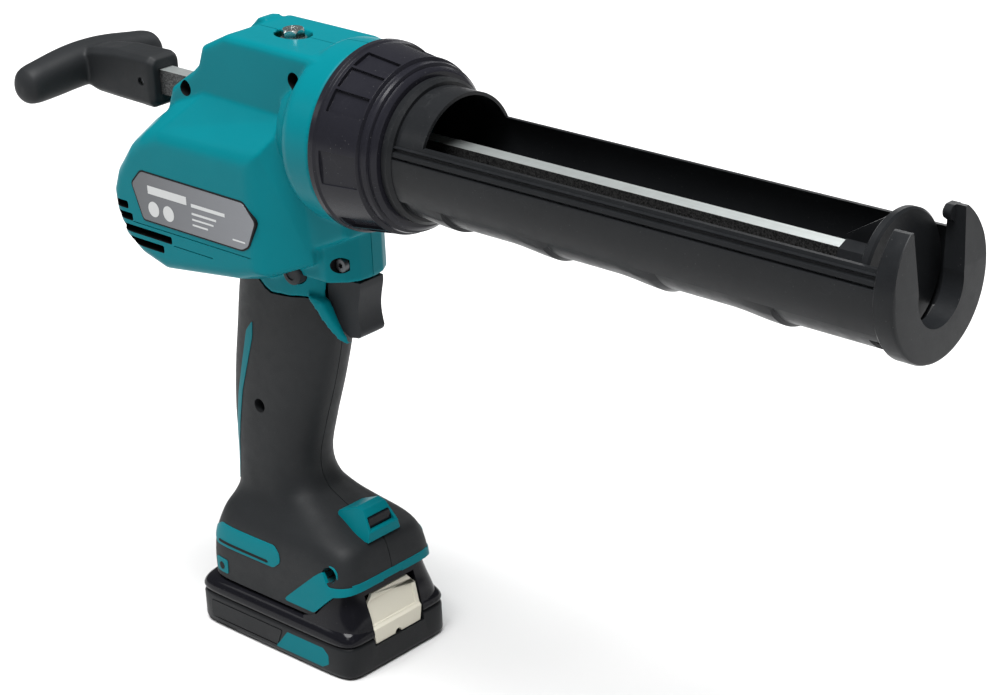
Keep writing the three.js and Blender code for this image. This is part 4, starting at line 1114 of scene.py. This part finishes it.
class GUN_OT_grip(bpy.types.Operator):
    """Rubber grip cover in two halves, with its teal inlays"""
    bl_idname = "gun.grip"
    bl_label = "Grip Cover"

    def execute(self, context):
        s = context.scene.gun_sizes
        cover = as_object(handle_form(), "grip_cover")
        hump = high("battery_upper_case").z + 1.0
        keep(cover, side_region([(x, z - 0.25) for x, z in COVER_EDGE] + [(75, 0), (-60, 0)]))
        cut(cover,
            block((-36, 70), (-20.5, 20.5), (0, hump)),
            prism("Y", [(60, 0), (60, 42.6), (43.6, 42.0), (31.2, 28.2), (31.2, 0)], -40, 40), trigger_room())
        holes = [("screw_grip", 3.4), ("screw_foot", 3.9)]
        for node, radius in holes:
            place = (low(node) + high(node)) / 2
            cut(cover, rod("Y", radius, -60, -8, (place.x, place.z), sides=40),
                rod("Y", radius, 9, 60, (place.x, place.z), sides=40))
        for side, bm in halves(cover, s.split / MM / 2):
            finish(as_object(bm, f"grip_shell_{side}"), "body", "grip_rubber", [f"grip_cover_{side}"],
                   angle=40)

        patch("grip_stripe", [(-10, 158), (-15.5, 152), (-26, 118), (-31.8, 92), (-33.5, 73), (-30.5, 72),
                              (-28.6, 92), (-22, 120), (-11, 150)], 0.25, "teal_plastic")
        patch("foot_pill", [(-37, 46), (-34.5, 43.2), (5.5, 43.2), (10, 47), (9.5, 51), (6, 54.3),
                            (-31, 54.3),
                            (-36.5, 51)], 0.35, "teal_plastic")
        # Dark strip of painted shade where the slot in the foot pill lies.
        patch("foot_pill_slot_painted_shade", [(-33, 44.6), (2, 44.4), (2, 45.8), (-33, 46)], 0.45, "painted_shade_inside")
        patch("foot_tab", [(-35.6, 28.8), (-27, 28.8), (-27, 36), (-35.6, 36)], 0.35, "teal_plastic")
        # Dark patch of painted shade where the hole in the foot tab lies.
        patch("foot_tab_hole_painted_shade", [(-33.2, 31.3), (-32, 30.2), (-30.6, 30.2), (-29.4, 31.3), (-29.4, 33),
                                (-30.6, 34.1),
                                (-32, 34.1), (-33.2, 33)], 0.45, "painted_shade_inside")
        patch("foot_fin", [(37.5, 51.2), (33, 48), (12.5, 30.2), (12, 28.6), (31, 28.4), (43.4, 40),
                           (52, 41.8),
                           (58, 43), (58, 45.8), (50, 45.2), (41, 44.4)], 0.35, "teal_plastic")
        foot = (low("screw_foot") + high("screw_foot")) / 2
        for side, y in (("right", -1), ("left", 1)):
            rim = turned([(0, 4.7), (0.0, 3.9), (9, 3.9), (9, 4.7)], centre=0, sides=48)
            bmesh.ops.rotate(rim, verts=rim.verts, cent=(0, 0, 0),
                             matrix=Matrix.Rotation(math.radians(90 * y), 3, "Z"))
            bmesh.ops.translate(rim, verts=rim.verts, vec=(foot.x, y * 19.0, foot.z))
            finish(as_object(tidy(rim), f"foot_hole_rim_{side}"), "body", "teal_plastic", (),
                   bevel=0.2)
        band = as_object(handle_form(0.3), "foot_band")
        keep(band, block((46, 60), (-24, 24), (42.4, 46)))
        cut(band, handle_form(-1.4))
        finish(band, "body", "teal_plastic", (), angle=50)
        return {"FINISHED"}


class GUN_OT_screws(bpy.types.Operator):
    """Star-socket screws that hold the two housing halves together"""
    bl_idname = "gun.screws"
    bl_label = "Screws"

    def execute(self, context):
        for node in ("screw_rear", "screw_front", "screw_trigger", "screw_grip", "screw_foot"):
            lo, hi = low(node), high(node)
            radius = (hi.x - lo.x) / 2
            x, z = (lo.x + hi.x) / 2, (lo.z + hi.z) / 2
            top = lo.y + SUNK.get(node, 0)
            screw = as_object(rod("Y", radius, top, top + 2.6, (x, z), sides=48, edge=0.35), f"{node}_head")
            star = []
            for k in range(12):
                reach = radius * (0.5 if k % 2 else 0.32)
                star.append((x + reach * math.cos(k * math.pi / 6), z + reach * math.sin(k * math.pi / 6)))
            fuse(screw, rod("Y", radius * 0.5, top + 2.4, hi.y - 9.0, (x, z), sides=24))
            cut(screw, prism("Y", star, top - 1, top + 1.6))
            finish(screw, "body", "dark_steel", [node], angle=30)
        return {"FINISHED"}


class GUN_OT_controls(bpy.types.Operator):
    """Trigger with its hollow front, and the push button that locks it"""
    bl_idname = "gun.controls"
    bl_label = "Trigger and Lock"

    def execute(self, context):
        lo, hi = low("trigger"), high("trigger")
        rear, foot = 32.8, lo.z + 2.6
        stations = []
        steps = 20
        for k in range(steps + 1):
            t = k / steps
            hollow = 2.3 * math.sin(math.pi * min(1.0, 0.08 + t)) ** 1.3
            front = 51.4 - hollow - 2.4 * max(0.0, 1 - t * 9) ** 2
            back = rear + 12 * max(0.0, 1 - t * 2.1) ** 2
            z = foot + (hi.z - foot) * t
            stations.append((z, [(back, -hi.y), (front, -7.2), (front, 7.2), (back, hi.y)]))
        body = as_object(facet_loft("Z", stations), "trigger_lever")
        stem = low("trigger").x
        fuse(body, rod("X", 2.6, stem, rear + 3, (0, 174), sides=24))
        finish(body, "trigger", "trigger_plastic", ["trigger"], bevel=1.5, angle=40, steps=4)

        place = (low("lock_button") + high("lock_button")) / 2
        radius = (high("lock_button").x - low("lock_button").x) / 2
        reach = high("lock_button").y
        button = as_object(rod("Y", radius, -reach, reach, (place.x, place.z), sides=64, edge=0.9),
                           "lock_push_button")
        cut(button, rod("Y", radius - 2.4, -reach - 2, -reach + 0.5, (place.x, place.z), sides=48),
            rod("Y", radius - 2.4, reach - 0.5, reach + 2, (place.x, place.z), sides=48))
        finish(button, "lock_button", "trigger_plastic", ["lock_button"], angle=40)
        return {"FINISHED"}


class GUN_OT_lamp(bpy.types.Operator):
    """Hood of the work lamp on the front of the foot"""
    bl_idname = "gun.lamp"
    bl_label = "Lamp Hood"

    def execute(self, context):
        board, lens = low("led_board"), high("lamp_lens")
        front = high("lamp_hood").x
        crown = high("lamp_hood").z
        hood = facet_loft("X", [
            (front - 27, [(-9.5, 58), (9.5, 58), (6.5, crown - 12), (-6.5, crown - 12)]),
            (front - 21, [(-12.6, 56), (12.6, 56), (7.6, crown - 5), (-7.6, crown - 5)]),
            (front - 10, [(-12.9, 54), (12.9, 54), (7.4, crown - 0.2), (-7.4, crown - 0.2)]),
            (front - 5.5, [(-12.9, 54), (12.9, 54), (6.9, crown - 0.6), (-6.9, crown - 0.6)]),
            (front - 0.2, [(-11.6, 56), (11.6, 56), (9.4, lens.z - 6.0), (-9.4, lens.z - 6.0)])])
        piece = as_object(hood, "lamp_cowl")
        sill = block((front - 40, front + 4), (-20, 20), (40, 61.2))
        cut(piece, sill, prism("X", [(-7.6, lens.z - 5.4), (7.6, lens.z - 5.4), (6.6, lens.z),
                                     (-6.6, lens.z)],
                               board.x - 0.3, front + 9))
        finish(piece, "body", "teal_plastic", ["lamp_hood"], bevel=0.7, angle=22, steps=3)
        window = as_object(prism("X", [(-7.5, lens.z - 5.3), (7.5, lens.z - 5.3), (6.5, lens.z - 0.1),
                                       (-6.5, lens.z - 0.1)], lens.x - 2.0, lens.x + 0.4), "lamp_window")
        finish(window, "body", "gloss_plastic", ["lamp_lens"], bevel=0.2)
        return {"FINISHED"}


# ---------------------------------------------------------------- battery


class GUN_OT_battery(bpy.types.Operator):
    """Battery: lower case, glossy upper case with its hump and rails, trims and release button"""
    bl_idname = "gun.battery"
    bl_label = "Battery"

    def execute(self, context):
        lo, hi = low("battery_lower_case"), high("battery_lower_case")
        middle, long_half, half = (lo.x + hi.x) / 2, (hi.x - lo.x) / 2, hi.y
        seam = hi.z

        def sheet(z, shrink, square=11):
            return (z, (middle, 0), (long_half - shrink, half - shrink), square)

        button = low("release_button")
        pocket = block((button.x - 3, hi.x + 6), (button.y - 0.4, -button.y + 0.4), (button.z - 0.4, 37.2))
        case = as_object(loft("Z", [sheet(0, 2.2), sheet(0.5, 1.1), sheet(1.7, 0.25), sheet(3.0, 0),
                                    sheet(seam - 1.6, 0), sheet(seam - 0.6, 0.35), sheet(seam - 0.1, 0.9)],
                              sides=128), "battery_case")
        cut(case, pocket.copy(), block((-60, -22), (-half - 3, -half + 1.3), (-2, 2.2), edge=0.6),
            block((-60, -22), (half - 1.3, half + 3), (-2, 2.2), edge=0.6))
        frame_line = [(-39, 4), (7.5, 4), (11.5, 13.6), (-39, 13.6)]
        cut(case, prism("Y", frame_line, -half - 1, -half + 0.35),
            prism("Y", frame_line, half - 0.35, half + 1))
        finish(case, "battery", "black_plastic", ["battery_lower_case"], angle=50)
        for side, y in (("right", -1), ("left", 1)):
            ends = sorted((y * (half - 1), y * (half + 0.0)))
            label = as_object(prism("Y", [(-38.4, 4.6), (7.1, 4.6), (10.6, 13.0), (-38.4, 13.0)], ends[0],
                                    ends[1],
                                    corner=1.0), f"battery_panel_{side}")
            finish(label, "battery", "black_plastic", (), bevel=0.15)
            trim = as_object(prism("Y", [(14.3, 13.7), (5.9, 3.3), (37, 3.3), (41.2, 6), (41.2, 10.6),
                                         (38, 13.7)],
                                   ends[0], ends[1], corner=0.6), f"battery_trim_{side}")
            finish(trim, "battery", "teal_plastic", (), bevel=0.15)

        shoulder = 24.8
        upper = as_object(loft("Z", between([
            sheet(seam + 0.2, 0.9), sheet(seam + 0.8, 0.2), sheet(seam + 2.6, 0.0),
            sheet(seam + 5.2, 0.9, 10),
            sheet(shoulder - 1.0, 2.6, 8.5), sheet(shoulder, 4.8, 7.5)], 3), sides=128), "battery_top")
        top = high("battery_upper_case").z
        nose = as_object(prism("Y", [(24, 18), (hi.x + 4, 18), (hi.x + 4, top + 1.6), (44.2, top + 1.6),
                                     (32.4, 28.2),
                                     (24, 25)], -33, 33), "nose")
        keep(nose, loft("Z", between([
            (17.0, (middle, 0), (long_half - 0.4, 31.6), 9), (25.0, (middle, 0), (long_half - 1.2, 30.8), 8),
            (34.0, (middle, 0), (long_half - 4.2, 29.2), 7.5),
            (top + 1.2, (middle, 0), (long_half - 6.4, 27.8), 7.5)], 3),
            sides=128))
        rails = block((-34, 43), (-19, 19), (shoulder - 2, 38), edge=0.8)
        fuse(upper, taken(nose), rails)
        cut(upper, pocket)
        finish(upper, "battery", "gloss_plastic", ["battery_upper_case"], bevel=0.9,
               angle=28,
               steps=3)

        bl, bh = low("release_button"), high("release_button")
        step = 20.5
        face = facet_loft("Z", [
            (bl.z, [(bl.x, bl.y + 1), (bh.x - 0.2, bl.y + 1), (bh.x - 0.2, bh.y - 1), (bl.x, bh.y - 1)]),
            (step, [(bl.x, bl.y), (bh.x, bl.y), (bh.x, bh.y), (bl.x, bh.y)]),
            (step + 1.2, [(bl.x, bl.y), (bh.x - 1.1, bl.y), (bh.x - 1.1, bh.y), (bl.x, bh.y)]),
            (bh.z - 5, [(bl.x, bl.y), (bh.x - 3.2, bl.y), (bh.x - 3.2, bh.y), (bl.x, bh.y)]),
            (bh.z, [(bl.x, bl.y + 4), (bh.x - 4.6, bl.y + 4), (bh.x - 4.6, bh.y - 4), (bl.x, bh.y - 4)])])
        press = as_object(face, "release_press")
        cut(press, rod("X", 2.0, bh.x - 3, bh.x + 2, (0, bl.z), sides=24),
            facet_loft("Z", [
                (step + 1.9, [(bh.x - 1.9, bl.y - 1), (bh.x + 2, bl.y - 1), (bh.x + 2, bh.y - 2.4),
                              (bh.x - 1.9, bh.y - 2.4)]),
                (bh.z - 2.8, [(bh.x - 4.5, bl.y - 1), (bh.x + 2, bl.y - 1), (bh.x + 2, bh.y - 2.4),
                              (bh.x - 4.5, bh.y - 2.4)])]))
        finish(press, "release_button", "cream_plastic", ["release_button"], bevel=0.8,
               angle=25,
               steps=3)
        return {"FINISHED"}


# ---------------------------------------------------------------- stage


class GUN_OT_stage(bpy.types.Operator):
    """Pale floor, soft studio light and the camera"""
    bl_idname = "gun.stage"
    bl_label = "Stage"

    azimuth: bpy.props.FloatProperty(
        name="Azimuth", description="Camera's turn about the tool, 0 looks along +Y",
        default=math.radians(43.26), subtype="ANGLE")
    elevation: bpy.props.FloatProperty(
        name="Elevation", description="Camera's height angle", default=math.radians(23.41), subtype="ANGLE")
    roll: bpy.props.FloatProperty(
        name="Roll", description="Camera's turn about its own view", default=math.radians(-2.54),
        subtype="ANGLE")
    distance: bpy.props.FloatProperty(
        name="Distance", description="From the middle of the tool", default=1.1238, unit="LENGTH")
    lens: bpy.props.FloatProperty(
        name="Lens", description="Focal length for a 36 mm sensor, in millimetres", default=91.75)

    def execute(self, context):
        scene = context.scene
        back = Vector((math.sin(self.azimuth) * math.cos(self.elevation),
                       -math.cos(self.azimuth) * math.cos(self.elevation), math.sin(self.elevation)))
        level = Vector((math.cos(self.azimuth), math.sin(self.azimuth), 0))
        up = back.cross(level)
        right = level * math.cos(self.roll) + up * math.sin(self.roll)
        upright = up * math.cos(self.roll) - level * math.sin(self.roll)
        target = Vector((0.06, 0, 0.13))
        aside, lift = 0.04704, 0.02501
        eye = target + right * aside + upright * lift + back * self.distance
        camera = bpy.data.objects.new("camera", bpy.data.cameras.new("camera"))
        camera.data.lens = self.lens
        camera.data.sensor_width = 36
        camera.data.clip_end = 60
        turn = Matrix((right, upright, back)).transposed().to_4x4()
        camera.matrix_world = Matrix.Translation(eye) @ turn
        scene.collection.objects.link(camera)
        scene.camera = camera

        bm = bmesh.new()
        bmesh.ops.create_grid(bm, x_segments=1, y_segments=1, size=14)
        floor = as_object(bm, "floor")
        material, tree, surface, coords = blank("studio_floor")
        cloud = add(tree, "ShaderNodeTexNoise", {"Vector": coords, "Scale": 3.0, "Detail": 3.0})
        tone = ramp(tree, cloud.outputs["Fac"], 0.3, 0.7, 0.61, 0.63)
        colour = add(tree, "ShaderNodeCombineColor", {"Red": tone, "Green": tone, "Blue": tone})
        tree.links.new(colour.outputs[0], surface.inputs["Base Color"])
        surface.inputs["Roughness"].default_value = 0.8
        surface.inputs["Specular IOR Level"].default_value = 0.1
        floor.data.materials.append(material)

        world = bpy.data.worlds.new("studio")
        world.use_nodes = True
        world.node_tree.nodes["Background"].inputs["Color"].default_value = (1, 1, 1, 1)
        world.node_tree.nodes["Background"].inputs["Strength"].default_value = 0.15
        scene.world = world
        scene.view_settings.view_transform = "Standard"
        aim = Vector((0.08, 0, 0.15))
        sun = bpy.data.lights.new("sky_panel", "SUN")
        sun.energy = 6.8
        sun.angle = math.radians(40)
        panel = bpy.data.objects.new("sky_panel", sun)
        panel.rotation_euler = Vector((-0.16, 0.26, -1.6)).to_track_quat("-Z", "Y").to_euler()
        scene.collection.objects.link(panel)
        lights = [("key", (0.5, -0.9, 1.2), 0.35, 1.6), ("side", (-1.0, -0.9, 0.9), 0.35, 1.0),
                  ("front", (1.3, -0.3, 0.6), 0.5, 0.4), ("back", (-0.2, 1.2, 0.9), 0.6, 3.5)]
        for name, place, size, power in lights:
            light = bpy.data.lights.new(name, "AREA")
            light.energy = power
            light.size = size
            lamp = bpy.data.objects.new(name, light)
            lamp.location = place
            lamp.rotation_euler = (aim - Vector(place)).to_track_quat("-Z", "Y").to_euler()
            scene.collection.objects.link(lamp)
        return {"FINISHED"}


# ---------------------------------------------------------------- add-on


class GUN_PT_panel(bpy.types.Panel):
    bl_label = "Caulking Gun"
    bl_idname = "GUN_PT_panel"
    bl_space_type = "VIEW_3D"
    bl_region_type = "UI"
    bl_category = "Caulking Gun"

    def draw(self, context):
        for settings in (context.scene.gun_sizes, context.scene.gun_colours):
            box = self.layout.box()
            for name in settings.bl_rna.properties.keys():
                if name not in ("rna_type", "name"):
                    box.prop(settings, name)
        for operator in OPERATORS:
            self.layout.operator(operator.bl_idname)


OPERATORS = (GUN_OT_finishes, GUN_OT_stage, GUN_OT_holder, GUN_OT_ring, GUN_OT_end_cap, GUN_OT_push_rod,
             GUN_OT_housing, GUN_OT_plate, GUN_OT_grip, GUN_OT_screws, GUN_OT_controls, GUN_OT_lamp,
             GUN_OT_battery)
CLASSES = (GunSizes, GunColours, *OPERATORS, GUN_PT_panel)


def register():
    for cls in CLASSES:
        bpy.utils.register_class(cls)
    bpy.types.Scene.gun_sizes = bpy.props.PointerProperty(type=GunSizes)
    bpy.types.Scene.gun_colours = bpy.props.PointerProperty(type=GunColours)


def unregister():
    del bpy.types.Scene.gun_sizes
    del bpy.types.Scene.gun_colours
    for cls in reversed(CLASSES):
        bpy.utils.unregister_class(cls)


def main():
    register()
    for operator in OPERATORS:
        group, name = operator.bl_idname.split(".")
        getattr(getattr(bpy.ops, group), name)()


if __name__ == "__main__":
    main()
